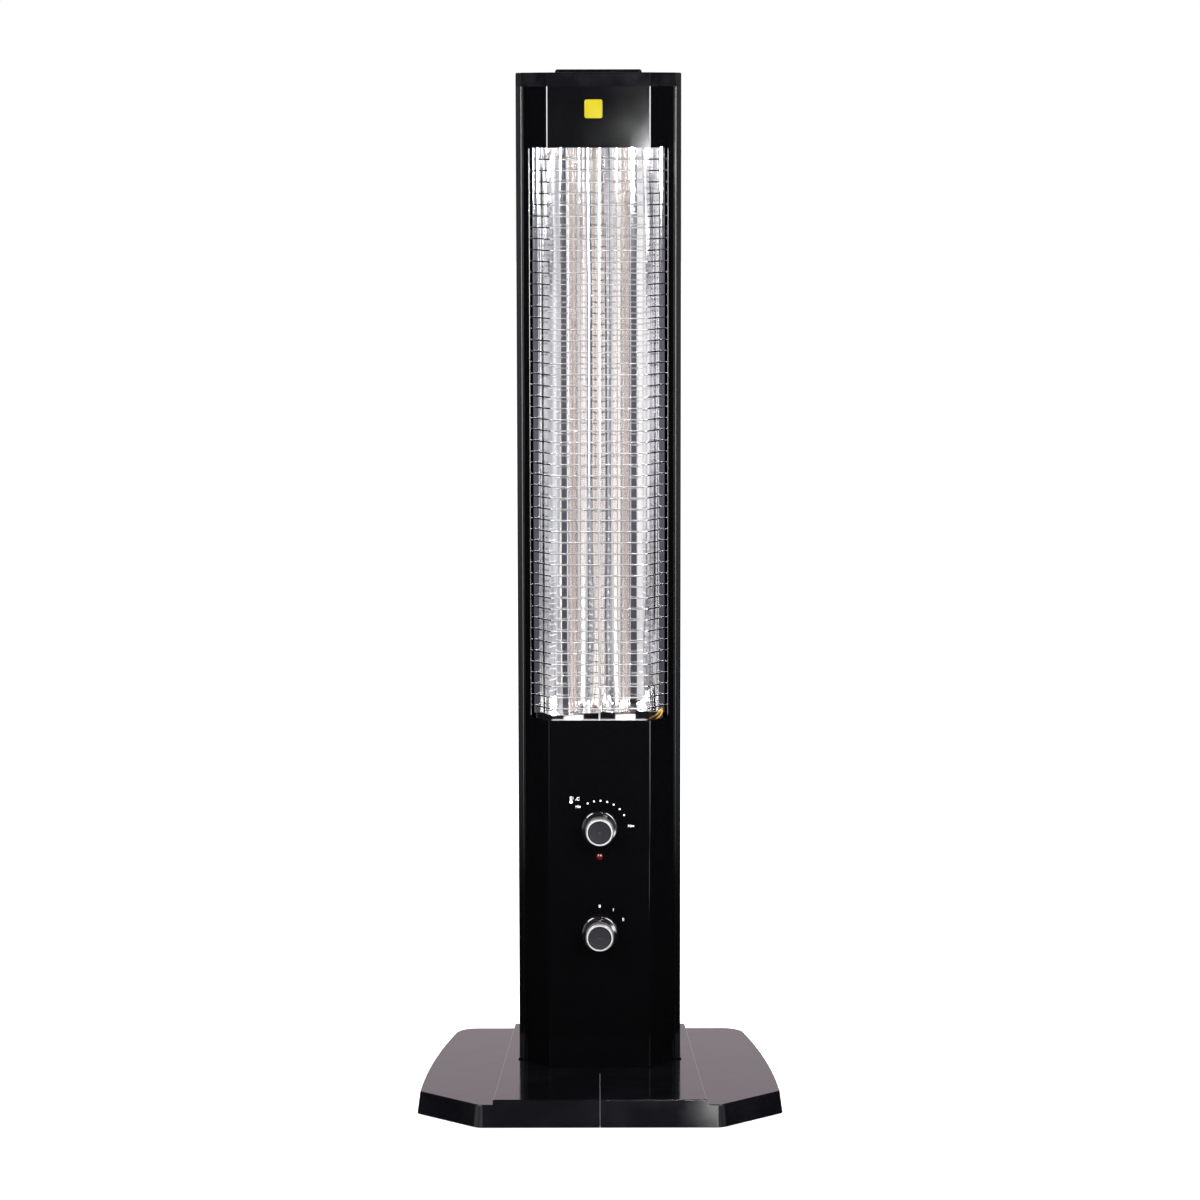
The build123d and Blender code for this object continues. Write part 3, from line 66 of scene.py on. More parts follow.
studio = {
    "floorSize": 40.0,
    "floorColour": (0.90, 0.90, 0.90, 1),
    "floorGlow": 1.0,
    "backdrop": (1.0, 1.0, 1.0, 1),
    # the room as reflections see it: place across, from -1 at the left to 1 at the right, and light
    "frontRoom": [
        (-0.972, (0.02, 0.02, 0.022)), (-0.955, (0.80, 0.80, 0.82)), (-0.93, (0.86, 0.85, 0.87)),
        (-0.83, (1.0, 1.0, 1.0)), (-0.76, (0.95, 0.95, 0.96)), (-0.72, (0.72, 0.72, 0.76)),
        (-0.68, (0.45, 0.45, 0.54)), (-0.64, (0.45, 0.45, 0.54)), (-0.60, (1.0, 1.0, 1.0)),
        (-0.55, (0.55, 0.52, 0.50)), (-0.49, (0.50, 0.48, 0.47)), (-0.46, (1.0, 1.0, 1.0)),
        (-0.36, (1.08, 1.07, 1.08)), (-0.24, (1.05, 1.04, 1.05)), (-0.16, (0.115, 0.115, 0.14)),
        (0.15, (0.115, 0.115, 0.14)), (0.21, (0.75, 0.74, 0.75)), (0.27, (0.85, 0.84, 0.85)),
        (0.31, (0.62, 0.63, 0.66)), (0.36, (0.50, 0.53, 0.58)), (0.42, (0.80, 0.80, 0.80)),
        (0.50, (1.0, 1.0, 1.0)), (0.57, (0.75, 0.72, 0.70)), (0.63, (0.50, 0.49, 0.50)),
        (0.70, (0.42, 0.42, 0.45)), (0.80, (0.42, 0.42, 0.46)), (0.84, (1.0, 1.0, 1.0)),
        (0.865, (1.0, 1.0, 1.0)), (0.92, (0.44, 0.44, 0.53)), (0.955, (0.44, 0.44, 0.53)),
        (0.972, (0.02, 0.02, 0.022)),
    ],
    "backRoom": [
        (-0.91, (0.012, 0.012, 0.013)), (-0.84, (0.30, 0.30, 0.31)), (-0.62, (0.20, 0.20, 0.21)),
        (-0.45, (0.012, 0.012, 0.013)), (-0.25, (0.95, 0.83, 0.89)), (0.25, (0.95, 0.83, 0.89)),
        (0.45, (0.012, 0.012, 0.013)), (0.62, (0.20, 0.20, 0.21)), (0.84, (0.30, 0.30, 0.31)),
        (0.91, (0.012, 0.012, 0.013)),
    ],
    # how the room dims below and above the level of the eye: height, share of the light
    "levels": [
        (-0.205, 0.03), (-0.178, 0.6), (-0.138, 0.72), (-0.105, 1.0), (-0.04, 1.0), (-0.015, 0.8),
        (0.006, 1.0), (0.22, 1.0), (0.50, 0.12),
    ],
    # name, place, the point it faces, size across and up, turn in its plane, radiance
    "softboxes": [
        ("skyRight", (1.68, -1.90, 1.95), (0, -0.05, 0.28), (1.45, 2.6), -50, 10.0),
        ("skyLeft", (-1.6, -1.94, 2.0), (0, -0.05, 0.28), (1.1, 2.6), 50, 12.0),
        ("keyRight", (2.2, -2.3, 1.15), (0, 0, 0.6), (0.8, 1.7), 0, 5.0),
        ("rimRight", (2.7, 1.55, 1.0), (0, 0, 0.55), (0.7, 1.3), 0, 3.0),
        ("rimLeft", (-2.7, 1.55, 1.0), (0, 0, 0.55), (0.7, 1.3), 0, 2.5),
        ("bandRight", (0.225, -0.9, 0.047), (0.06, -0.16, 0.03), (0.21, 0.062), 0, 8.5),
        ("glowLow", (0.114, -1.2, 0.930), (0.03, 0, 0.97), (0.09, 0.05), 0, 285.0),
        ("glowHigh", (0.118, -1.2, 0.985), (0.03, 0, 0.97), (0.08, 0.04), 0, 34.0),
    ],
}


def deselectAll():
    if bpy.context.object and bpy.context.object.mode != "OBJECT":
        bpy.ops.object.mode_set(mode="OBJECT")
    bpy.ops.object.select_all(action="DESELECT")


def addSoftbox(name, place, target, size, turn, radiance):
    aim = Vector(target) - Vector(place)
    bpy.ops.object.light_add(type="AREA", location=place, rotation=aim.to_track_quat("-Z", "Y").to_euler())
    box = bpy.context.object
    box.rotation_euler.rotate_axis("Z", math.radians(turn))
    box.name = name
    box.data.shape = "RECTANGLE"
    box.data.size, box.data.size_y = size
    box.data.energy = radiance * math.pi * size[0] * size[1]
    box.visible_camera = False


def buildWorld():
    world = bpy.data.worlds.new("studioRoom")
    bpy.context.scene.world = world
    world.use_nodes = True
    tree = world.node_tree
    tree.nodes.clear()

    def put(kind, **values):
        node = tree.nodes.new(kind)
        for key, value in values.items():
            setattr(node, key, value)
        return node

    def putRamp(value, stops):
        ramp = put("ShaderNodeValToRGB")
        while len(ramp.color_ramp.elements) > 1:
            ramp.color_ramp.elements.remove(ramp.color_ramp.elements[-1])
        ramp.color_ramp.elements[0].position = stops[0][0]
        for at, colour in stops[1:]:
            ramp.color_ramp.elements.new(at)
        for element, (at, colour) in zip(ramp.color_ramp.elements, stops):
            element.color = (*colour, 1)
        tree.links.new(value, ramp.inputs["Fac"])
        return ramp.outputs["Color"]

    place = put("ShaderNodeTexCoord")
    split = put("ShaderNodeSeparateXYZ")
    across = put("ShaderNodeMath", operation="MULTIPLY_ADD")
    up = put("ShaderNodeMath", operation="MULTIPLY_ADD")
    for node, socket in ((across, "X"), (up, "Z")):
        node.inputs[1].default_value = 0.5
        node.inputs[2].default_value = 0.5
        tree.links.new(split.outputs[socket], node.inputs[0])
    tree.links.new(place.outputs["Generated"], split.inputs[0])
    ramps = [
        putRamp(across.outputs[0], [((at + 1) / 2, colour) for at, colour in studio[room]])
        for room in ("frontRoom", "backRoom")
    ]
    level = putRamp(up.outputs[0], [((at + 1) / 2, (share,) * 3) for at, share in studio["levels"]])
    behind = put("ShaderNodeMath", operation="GREATER_THAN")
    behind.inputs[1].default_value = 0.0
    tree.links.new(split.outputs["Y"], behind.inputs[0])
    choose = put("ShaderNodeMix", data_type="RGBA")
    tree.links.new(behind.outputs[0], choose.inputs[0])
    tree.links.new(ramps[0], choose.inputs[6])
    tree.links.new(ramps[1], choose.inputs[7])
    room = put("ShaderNodeBackground")
    seen = put("ShaderNodeBackground")
    seen.inputs["Color"].default_value = studio["backdrop"]
    tree.links.new(choose.outputs[2], room.inputs["Color"])
    tree.links.new(level, room.inputs["Strength"])
    path = put("ShaderNodeLightPath")
    blend = put("ShaderNodeMixShader")
    tree.links.new(path.outputs["Is Camera Ray"], blend.inputs[0])
    tree.links.new(room.outputs[0], blend.inputs[1])
    tree.links.new(seen.outputs[0], blend.inputs[2])
    out = put("ShaderNodeOutputWorld")
    tree.links.new(blend.outputs[0], out.inputs["Surface"])


deselectAll()
bpy.ops.mesh.primitive_plane_add(size=studio["floorSize"])
floor = bpy.context.object
floor.name = "paleFloor"
floor.visible_glossy = False
buildWorld()
for softbox in studio["softboxes"]:
    addSoftbox(*softbox)
print("studio: floor, world and", len(studio["softboxes"]), "softboxes")


# shader groups that several finishes share

# what each pattern stretches to a full share: a span of noise, of distance or of how far a face turns
spans = {
    "spread": (0.3, 0.7), "stain": (0.35, 0.75), "cloud": (0.45, 0.70),
    "scuffLine": (0.0, 0.012), "scuffPatch": (0.52, 0.70),
    "dustFacing": (0.35, 0.95), "dustCloud": (0.35, 0.75), "front": (-0.96, -0.80),
}


def newGroup(name, inputs, outputs):
    group = bpy.data.node_groups.new(name, "ShaderNodeTree")
    for socket, value in inputs.items():
        made = group.interface.new_socket(name=socket, in_out="INPUT", socket_type="NodeSocketFloat")
        made.default_value = value
    for socket in outputs:
        group.interface.new_socket(name=socket, in_out="OUTPUT", socket_type="NodeSocketFloat")
    start = group.nodes.new("NodeGroupInput")
    end = group.nodes.new("NodeGroupOutput")
    return group, start, end


def feed(tree, socket, value):
    # a number or colour is set, and another node's output is linked
    if isinstance(value, (int, float, tuple)):
        socket.default_value = value
    else:
        tree.links.new(value, socket)


def addNoise(tree, scale, detail, rough=0.55):
    node = tree.nodes.new("ShaderNodeTexNoise")
    feed(tree, node.inputs["Scale"], scale)
    node.inputs["Detail"].default_value = detail
    node.inputs["Roughness"].default_value = rough
    return node


def addMath(tree, operation, first, second):
    node = tree.nodes.new("ShaderNodeMath")
    node.operation = operation
    for socket, value in zip(node.inputs, (first, second)):
        feed(tree, socket, value)
    return node.outputs[0]


def addRange(tree, value, low, high, toLow, toHigh):
    node = tree.nodes.new("ShaderNodeMapRange")
    for socket, number in zip(("From Min", "From Max", "To Min", "To Max"), (low, high, toLow, toHigh)):
        feed(tree, node.inputs[socket], number)
    tree.links.new(value, node.inputs["Value"])
    return node.outputs[0]


def buildGrain():
    # fine even grain plus slow waves, as on moulded plastic and enamel
    inputs = {"Grain": 900.0, "Waves": 14.0, "Mix": 0.3}
    group, start, end = newGroup("fineGrain", inputs, ("Height", "Spread"))
    place = group.nodes.new("ShaderNodeTexCoord")
    fine = addNoise(group, start.outputs["Grain"], 3)
    slow = addNoise(group, start.outputs["Waves"], 2)
    for pattern in (fine, slow):
        group.links.new(place.outputs["Object"], pattern.inputs["Vector"])
    part = addMath(group, "MULTIPLY", fine.outputs["Fac"], start.outputs["Mix"])
    group.links.new(addMath(group, "ADD", part, slow.outputs["Fac"]), end.inputs["Height"])
    group.links.new(slow.outputs["Fac"], end.inputs["Spread"])
    return group


def buildStreaks():
    # long streaks that run up the piece, as in rolled or brushed sheet
    group, start, end = newGroup("longStreaks", {"Across": 160.0, "Along": 2.0}, ("Height", "Spread"))
    place = group.nodes.new("ShaderNodeTexCoord")
    split = group.nodes.new("ShaderNodeSeparateXYZ")
    join = group.nodes.new("ShaderNodeCombineXYZ")
    group.links.new(place.outputs["Object"], split.inputs[0])
    for axis, scale in (("X", "Across"), ("Y", "Across"), ("Z", "Along")):
        scaled = addMath(group, "MULTIPLY", split.outputs[axis], start.outputs[scale])
        group.links.new(scaled, join.inputs[axis])
    streak = addNoise(group, 1.0, 4, 0.6)
    group.links.new(join.outputs[0], streak.inputs["Vector"])
    group.links.new(streak.outputs["Fac"], end.inputs["Height"])
    group.links.new(streak.outputs["Fac"], end.inputs["Spread"])
    return group


def buildScuffs():
    # sparse short scratches and rubbed spots
    group, start, end = newGroup("lightScuffs", {"Scale": 60.0, "Amount": 0.3}, ("Mask",))
    place = group.nodes.new("ShaderNodeTexCoord")
    patches = addNoise(group, 9, 3)
    marks = group.nodes.new("ShaderNodeTexVoronoi")
    marks.feature = "DISTANCE_TO_EDGE"
    warp = addNoise(group, 35, 2)
    group.links.new(place.outputs["Object"], patches.inputs["Vector"])
    group.links.new(place.outputs["Object"], warp.inputs["Vector"])
    bent = group.nodes.new("ShaderNodeVectorMath")
    bent.operation = "MULTIPLY_ADD"
    bent.inputs[1].default_value = (0.03, 0.03, 0.03)
    group.links.new(warp.outputs["Color"], bent.inputs[0])
    group.links.new(place.outputs["Object"], bent.inputs[2])
    group.links.new(bent.outputs[0], marks.inputs["Vector"])
    group.links.new(start.outputs["Scale"], marks.inputs["Scale"])
    line = addRange(group, marks.outputs["Distance"], *spans["scuffLine"], 1.0, 0.0)
    patch = addRange(group, patches.outputs["Fac"], *spans["scuffPatch"], 0.0, 1.0)
    both = addMath(group, "MULTIPLY", line, patch)
    group.links.new(addMath(group, "MULTIPLY", both, start.outputs["Amount"]), end.inputs["Mask"])
    return group


foldHighlightLines = {
    # painted highlight lines along the folds: place across and deep and half width in mm, then the heights in
    # m between which the line fades in, its share below them, and its shares low at the left and elsewhere
    "lines": [
        (78.0, 4.0, 0.45, 0.22, 1.0, 0.008, 0.8, 0.65),
        (51.5, -31.0, 0.45, 0.26, 0.985, 0.0, 0.06, 0.9),
    ],
    "soft": 1.7,
    "leftHeights": (0.40, 0.95),
    "middle": (-0.02, 0.02),
}
# painted highlight on the edge of the opening's lower lip: how far it faces up, and where it starts and ends,
# in m
lipHighlight = {"facing": (0.6, 0.9), "bottom": (0.3895, 0.3905), "top": (0.392, 0.393), "side": (0.046, 0.050)}


def buildFoldHighlights():
    # painted highlights: two upright fold lines at each side, light near the top and fainter below, and the
    # lower lip's edge
    group, start, end = newGroup("paintedFoldHighlights", {"Amount": 0.5}, ("Mask", "Lip"))
    place = group.nodes.new("ShaderNodeTexCoord")
    split = group.nodes.new("ShaderNodeSeparateXYZ")
    group.links.new(place.outputs["Object"], split.inputs[0])
    across = addMath(group, "ABSOLUTE", split.outputs["X"], 0.0)
    masks = []
    for x, y, half, low, high, faint, lowLeft, other in foldHighlightLines["lines"]:
        flat = group.nodes.new("ShaderNodeCombineXYZ")
        group.links.new(addMath(group, "SUBTRACT", across, x * mm), flat.inputs["X"])
        group.links.new(addMath(group, "SUBTRACT", split.outputs["Y"], y * mm), flat.inputs["Y"])
        far = group.nodes.new("ShaderNodeVectorMath")
        far.operation = "LENGTH"
        group.links.new(flat.outputs[0], far.inputs[0])
        line = addRange(group, far.outputs["Value"], half * mm, foldHighlightLines["soft"] * half * mm, 1.0, 0.0)
        fade = addRange(group, split.outputs["Z"], low, high, faint, 1.0)
        left = addRange(group, split.outputs["Z"], *foldHighlightLines["leftHeights"], lowLeft, other)
        side = addRange(group, split.outputs["X"], *foldHighlightLines["middle"], left, other)
        masks.append(addMath(group, "MULTIPLY", addMath(group, "MULTIPLY", line, fade), side))
    both = addMath(group, "MAXIMUM", masks[0], masks[1])
    group.links.new(addMath(group, "MULTIPLY", both, start.outputs["Amount"]), end.inputs["Mask"])
    face = group.nodes.new("ShaderNodeNewGeometry")
    up = group.nodes.new("ShaderNodeSeparateXYZ")
    group.links.new(face.outputs["Normal"], up.inputs[0])
    level = addRange(group, up.outputs["Z"], *lipHighlight["facing"], 0.0, 1.0)
    above = addRange(group, split.outputs["Z"], *lipHighlight["bottom"], 0.0, 1.0)
    below = addRange(group, split.outputs["Z"], *lipHighlight["top"], 1.0, 0.0)
    inside = addRange(group, across, *lipHighlight["side"], 1.0, 0.0)
    wide = addMath(group, "MULTIPLY", level, inside)
    high = addMath(group, "MULTIPLY", above, below)
    group.links.new(addMath(group, "MULTIPLY", wide, high), end.inputs["Lip"])
    return group


def buildDust():
    # a thin film on what faces up, thicker in soft patches
    group, start, end = newGroup("settledDust", {"Amount": 0.2, "Patches": 25.0}, ("Mask",))
    place = group.nodes.new("ShaderNodeTexCoord")
    face = group.nodes.new("ShaderNodeNewGeometry")
    split = group.nodes.new("ShaderNodeSeparateXYZ")
    group.links.new(face.outputs["Normal"], split.inputs[0])
    up = addRange(group, split.outputs["Z"], *spans["dustFacing"], 0.0, 1.0)
    cloud = addNoise(group, start.outputs["Patches"], 5, 0.65)
    group.links.new(place.outputs["Object"], cloud.inputs["Vector"])
    soft = addRange(group, cloud.outputs["Fac"], *spans["dustCloud"], 0.35, 1.0)
    both = addMath(group, "MULTIPLY", up, soft)
    group.links.new(addMath(group, "MULTIPLY", both, start.outputs["Amount"]), end.inputs["Mask"])
    return group


def buildFacing():
    # what faces straight forward, such as the end of a turned sleeve
    group, _, end = newGroup("facingFront", {}, ("Factor",))
    face = group.nodes.new("ShaderNodeNewGeometry")
    split = group.nodes.new("ShaderNodeSeparateXYZ")
    group.links.new(face.outputs["Normal"], split.inputs[0])
    group.links.new(addRange(group, split.outputs["Y"], *spans["front"], 1.0, 0.0), end.inputs["Factor"])
    return group


# where the guard bends back and where its side posts start, in m, the share of bare chrome left between
# them under the painted dark reflection, and what the posts add to it
guardSides = {"bend": (0.048, 0.050), "posts": (0.0665, 0.0675), "between": 0.12, "atPosts": 0.75}


def buildSides():
    # painted reflection: between the flat front and the side posts the bent wires are painted dark, standing
    # in for the dark beside the tower that they mirror
    group, start, end = newGroup("paintedDarkSides", {"Share": 0.3}, ("Factor", "Middle"))
    place = group.nodes.new("ShaderNodeTexCoord")
    split = group.nodes.new("ShaderNodeSeparateXYZ")
    group.links.new(place.outputs["Object"], split.inputs[0])
    across = addMath(group, "ABSOLUTE", split.outputs["X"], 0.0)
    bend = guardSides["bend"]
    group.links.new(addRange(group, across, *bend, 1.0, start.outputs["Share"]), end.inputs["Factor"])
    inner = addRange(group, across, *bend, 1.0, guardSides["between"])
    outer = addRange(group, across, *guardSides["posts"], 0.0, guardSides["atPosts"])
    group.links.new(addMath(group, "ADD", inner, outer), end.inputs["Middle"])
    return group


foldHighlightGroup = buildFoldHighlights()
grainGroup = buildGrain()
streakGroup = buildStreaks()
scuffGroup = buildScuffs()
dustGroup = buildDust()
sideGroup = buildSides()
facingGroup = buildFacing()


# finishes

def startFinish(name, **sockets):
    finish = bpy.data.materials.new(name)
    finish.use_nodes = True
    shader = finish.node_tree.nodes["Principled BSDF"]
    for socket, value in sockets.items():
        shader.inputs[socket.replace("_", " ")].default_value = value
    return finish, finish.node_tree, shader


def useGroup(tree, group, **values):
    node = tree.nodes.new("ShaderNodeGroup")
    node.node_tree = group
    for socket, value in values.items():
        node.inputs[socket].default_value = value
    return node


def addBump(tree, shader, height, distance, strength=1.0):
    bump = tree.nodes.new("ShaderNodeBump")
    bump.inputs["Distance"].default_value = distance
    bump.inputs["Strength"].default_value = strength
    tree.links.new(height, bump.inputs["Height"])
    tree.links.new(bump.outputs[0], shader.inputs["Normal"])


def mixColours(tree, factor, first, second):
    mix = tree.nodes.new("ShaderNodeMix")
    mix.data_type = "RGBA"
    for socket, colour in zip(mix.inputs[6:8], (first, second)):
        feed(tree, socket, colour)
    tree.links.new(factor, mix.inputs[0])
    return mix.outputs[2]


def mouldedFinish(name, look):
    # plastic, enamel and rubber: grain, slow waves, scuffs and dust over one base, and on the enamel painted
    # highlights along its folds and lower lip
    finish, tree, shader = startFinish(name, Specular_IOR_Level=look["specular"], IOR=look.get("ior", 1.5))
    grain = useGroup(tree, grainGroup, Grain=look["grain"], Waves=look["waves"], Mix=look["mix"])
    scuffs = useGroup(tree, scuffGroup, Scale=look["scuffScale"], Amount=look["scuffs"])
    dust = useGroup(tree, dustGroup, Amount=look["dust"])
    film = addMath(tree, "MAXIMUM", scuffs.outputs[0], dust.outputs[0])
    cloud = addRange(tree, grain.outputs["Spread"], *spans["cloud"], 0.0, look.get("cloud", 0.0))
    film = addMath(tree, "MAXIMUM", film, cloud)
    base = addRange(tree, grain.outputs["Spread"], *spans["spread"], *look["rough"])
    light = film
    # painted highlights: bright lines along the enamel's folds and the lower lip's edge, mixed into the worn
    # colour with the real scuffs and dust
    if "highlightFolds" in look:
        highlightFolds = useGroup(tree, foldHighlightGroup, Amount=look["highlightFolds"])
        light = addMath(tree, "MAXIMUM", highlightFolds.outputs["Mask"], highlightFolds.outputs["Lip"])
        light = addMath(tree, "MAXIMUM", film, light)
    tree.links.new(mixColours(tree, light, look["colour"], look["wearAndHighlight"]), shader.inputs["Base Color"])
    rub = addMath(tree, "MULTIPLY", film, 0.5)
    tree.links.new(addMath(tree, "ADD", base, rub), shader.inputs["Roughness"])
    addBump(tree, shader, grain.outputs["Height"], look["bump"])
    return finish


def metalFinish(name, look):
    # metal sheet, wire and turned parts: streaks, tarnish and scuffs, with a painted dark reflection on the
    # guard's bent sides and painted shade on the turned sleeve's flanks
    finish, tree, shader = startFinish(name, Metallic=1.0)
    streaks = useGroup(tree, streakGroup, Across=look["across"], Along=look["along"])
    scuffs = useGroup(tree, scuffGroup, Scale=look["scuffScale"], Amount=look["scuffs"])
    stain = addRange(tree, streaks.outputs["Spread"], *spans["stain"], 0.0, 1.0)
    tone = mixColours(tree, stain, look["colour"], look["tinted"])
    # painted reflection: the guard's bent sides take a dark colour standing in for the dark they mirror
    if "sides" in look:
        sides = useGroup(tree, sideGroup, Share=look["sides"])
        tone = mixColours(tree, sides.outputs["Middle"], look["paintedSideReflection"], tone)
    # painted shade: faces of the sleeve turned away from the front take the darker flank colour
    if "flank" in look:
        tone = mixColours(tree, useGroup(tree, facingGroup).outputs[0], look["flank"], tone)
    tree.links.new(tone, shader.inputs["Base Color"])
    base = addRange(tree, streaks.outputs["Spread"], *spans["spread"], *look["rough"])
    if "sides" in look:
        base = addMath(tree, "MULTIPLY", base, sides.outputs["Factor"])
    rub = addMath(tree, "MULTIPLY", scuffs.outputs[0], 0.3)
    tree.links.new(addMath(tree, "ADD", base, rub), shader.inputs["Roughness"])
    addBump(tree, shader, streaks.outputs["Height"], look["bump"])
    return finish


mouldedLooks = {
    # the enamel's light grey worn colour carries painted fold and lip highlights as well as real scuffs and
    # dust
    "black_enamel": {
        "colour": (0.0010, 0.0010, 0.0012, 1), "wearAndHighlight": (0.55, 0.54, 0.56, 1), "specular": 0.22,
        "grain": 1400.0, "waves": 30.0, "mix": 0.05, "scuffScale": 70.0, "scuffs": 0.004, "dust": 0.004,
        "rough": (0.07, 0.10), "bump": 0.00003, "highlightFolds": 0.6,
    },
    "black_cap_plastic": {
        "colour": (0.0025, 0.0025, 0.0035, 1), "wearAndHighlight": (0.06, 0.06, 0.065, 1), "specular": 0.06,
        "grain": 1700.0, "waves": 40.0, "mix": 0.2, "scuffScale": 90.0, "scuffs": 0.08, "dust": 0.05,
        "rough": (0.06, 0.085), "bump": 0.00006, "cloud": 0.07,
    },
    "black_foot_plastic": {
        "colour": (0.0016, 0.0016, 0.0022, 1), "wearAndHighlight": (0.05, 0.05, 0.055, 1), "specular": 0.42,
        "grain": 1500.0, "waves": 22.0, "mix": 0.12, "scuffScale": 60.0, "scuffs": 0.04, "dust": 0.012,
        "rough": (0.06, 0.10), "bump": 0.00008, "cloud": 0.03,
    },
    "glide_rubber": {
        "colour": (0.50, 0.49, 0.46, 1), "wearAndHighlight": (0.30, 0.29, 0.27, 1), "specular": 0.3,
        "grain": 1600.0, "waves": 90.0, "mix": 0.8, "scuffScale": 120.0, "scuffs": 0.5, "dust": 0.1,
        "rough": (0.65, 0.8), "bump": 0.0001,
    },
    "control_plastic": {
        "colour": (0.035, 0.035, 0.036, 1), "wearAndHighlight": (0.12, 0.12, 0.12, 1), "specular": 0.4,
        "grain": 1500.0, "waves": 60.0, "mix": 0.6, "scuffScale": 110.0, "scuffs": 0.3, "dust": 0.1,
        "rough": (0.45, 0.6), "bump": 0.0001,
    },
    "knob_plastic": {
        "colour": (0.0020, 0.0020, 0.0024, 1), "wearAndHighlight": (0.05, 0.05, 0.055, 1), "specular": 1.0, "ior": 1.6,
        "grain": 1800.0, "waves": 120.0, "mix": 0.1, "scuffScale": 160.0, "scuffs": 0.12, "dust": 0.03,
        "rough": (0.06, 0.10), "bump": 0.00003,
    },
    "knob_face_grey": {
        "colour": (0.009, 0.009, 0.011, 1), "wearAndHighlight": (0.05, 0.05, 0.055, 1), "specular": 0.3,
        "grain": 1900.0, "waves": 90.0, "mix": 0.4, "scuffScale": 160.0, "scuffs": 0.2, "dust": 0.03,
        "rough": (0.38, 0.46), "bump": 0.00005,
    },
    "white_ceramic": {
        "colour": (0.80, 0.78, 0.73, 1), "wearAndHighlight": (0.50, 0.46, 0.40, 1), "specular": 0.35,
        "grain": 1300.0, "waves": 80.0, "mix": 0.9, "scuffScale": 140.0, "scuffs": 0.5, "dust": 0.15,
        "rough": (0.6, 0.75), "bump": 0.00015,
    },
    "lead_insulation": {
        "colour": (0.42, 0.25, 0.055, 1), "wearAndHighlight": (0.25, 0.15, 0.05, 1), "specular": 0.3,
        "grain": 2200.0, "waves": 150.0, "mix": 0.9, "scuffScale": 200.0, "scuffs": 0.4, "dust": 0.05,
        "rough": (0.5, 0.65), "bump": 0.0001,
    },
    "label_film": {
        "colour": (0.235, 0.200, 0.001, 1), "wearAndHighlight": (0.20, 0.17, 0.002, 1), "specular": 0.15,
        "grain": 1500.0, "waves": 60.0, "mix": 0.3, "scuffScale": 90.0, "scuffs": 0.25, "dust": 0.0,
        "rough": (0.30, 0.42), "bump": 0.00003,
    },
    "dial_print": {
        "colour": (0.78, 0.78, 0.78, 1), "wearAndHighlight": (0.4, 0.4, 0.4, 1), "specular": 0.3,
        "grain": 2500.0, "waves": 300.0, "mix": 0.6, "scuffScale": 300.0, "scuffs": 0.5, "dust": 0.0,
        "rough": (0.5, 0.6), "bump": 0.00001,
    },
}
metalLooks = {
    # the chrome's side colour is a painted dark reflection of the room beside the tower
    "chromed_wire": {
        "colour": (0.80, 0.80, 0.81, 1), "tinted": (0.68, 0.66, 0.66, 1), "across": 900.0, "along": 60.0,
        "scuffScale": 200.0, "scuffs": 0.4, "rough": (0.30, 0.38), "bump": 0.00002, "sides": 0.4,
        "paintedSideReflection": (0.035, 0.033, 0.035, 1),
    },
    "polished_reflector": {
        "colour": (0.93, 0.93, 0.94, 1), "tinted": (0.84, 0.83, 0.85, 1), "across": 120.0, "along": 1.5,
        "scuffScale": 80.0, "scuffs": 0.25, "rough": (0.04, 0.09), "bump": 0.00006,
    },
    "zinc_steel": {
        "colour": (0.34, 0.34, 0.35, 1), "tinted": (0.22, 0.22, 0.24, 1), "across": 200.0, "along": 120.0,
        "scuffScale": 90.0, "scuffs": 0.5, "rough": (0.28, 0.42), "bump": 0.00004,
    },
    "screw_steel": {
        "colour": (0.10, 0.10, 0.11, 1), "tinted": (0.18, 0.18, 0.19, 1), "across": 600.0, "along": 400.0,
        "scuffScale": 200.0, "scuffs": 0.6, "rough": (0.30, 0.42), "bump": 0.00003,
    },
    "brass_parts": {
        "colour": (0.78, 0.57, 0.25, 1), "tinted": (0.55, 0.40, 0.20, 1), "across": 500.0, "along": 300.0,
        "scuffScale": 200.0, "scuffs": 0.5, "rough": (0.22, 0.36), "bump": 0.00003,
    },
    "spindle_steel": {
        "colour": (0.66, 0.67, 0.68, 1), "tinted": (0.50, 0.50, 0.52, 1), "across": 700.0, "along": 700.0,
        "scuffScale": 200.0, "scuffs": 0.5, "rough": (0.20, 0.32), "bump": 0.00003,
    },
    # the sleeve's flank colour is painted shade on its sides, darker than its front end
    "silver_sleeve": {
        "colour": (0.95, 0.94, 0.95, 1), "tinted": (0.88, 0.88, 0.90, 1), "across": 260.0, "along": 260.0,
        "scuffScale": 220.0, "scuffs": 0.3, "rough": (0.44, 0.52), "bump": 0.00002,
        "flank": (0.38, 0.36, 0.35, 1),
    },
    "resistance_wire": {
        "colour": (0.45, 0.37, 0.34, 1), "tinted": (0.56, 0.47, 0.43, 1), "across": 500.0, "along": 300.0,
        "scuffScale": 150.0, "scuffs": 0.4, "rough": (0.35, 0.5), "bump": 0.00004,
    },
}


def quartzFinish():
    # clear fused quartz with a faint haze and drawn lines along the tube
    finish, tree, shader = startFinish(
        "quartz_glass", Base_Color=(0.91, 0.87, 0.85, 1), Transmission_Weight=1.0, IOR=1.46
    )
    streaks = useGroup(tree, streakGroup, Across=500.0, Along=3.0)
    haze = addRange(tree, streaks.outputs["Spread"], *spans["spread"], 0.02, 0.12)
    tree.links.new(haze, shader.inputs["Roughness"])
    addBump(tree, shader, streaks.outputs["Height"], 0.00003)
    return finish


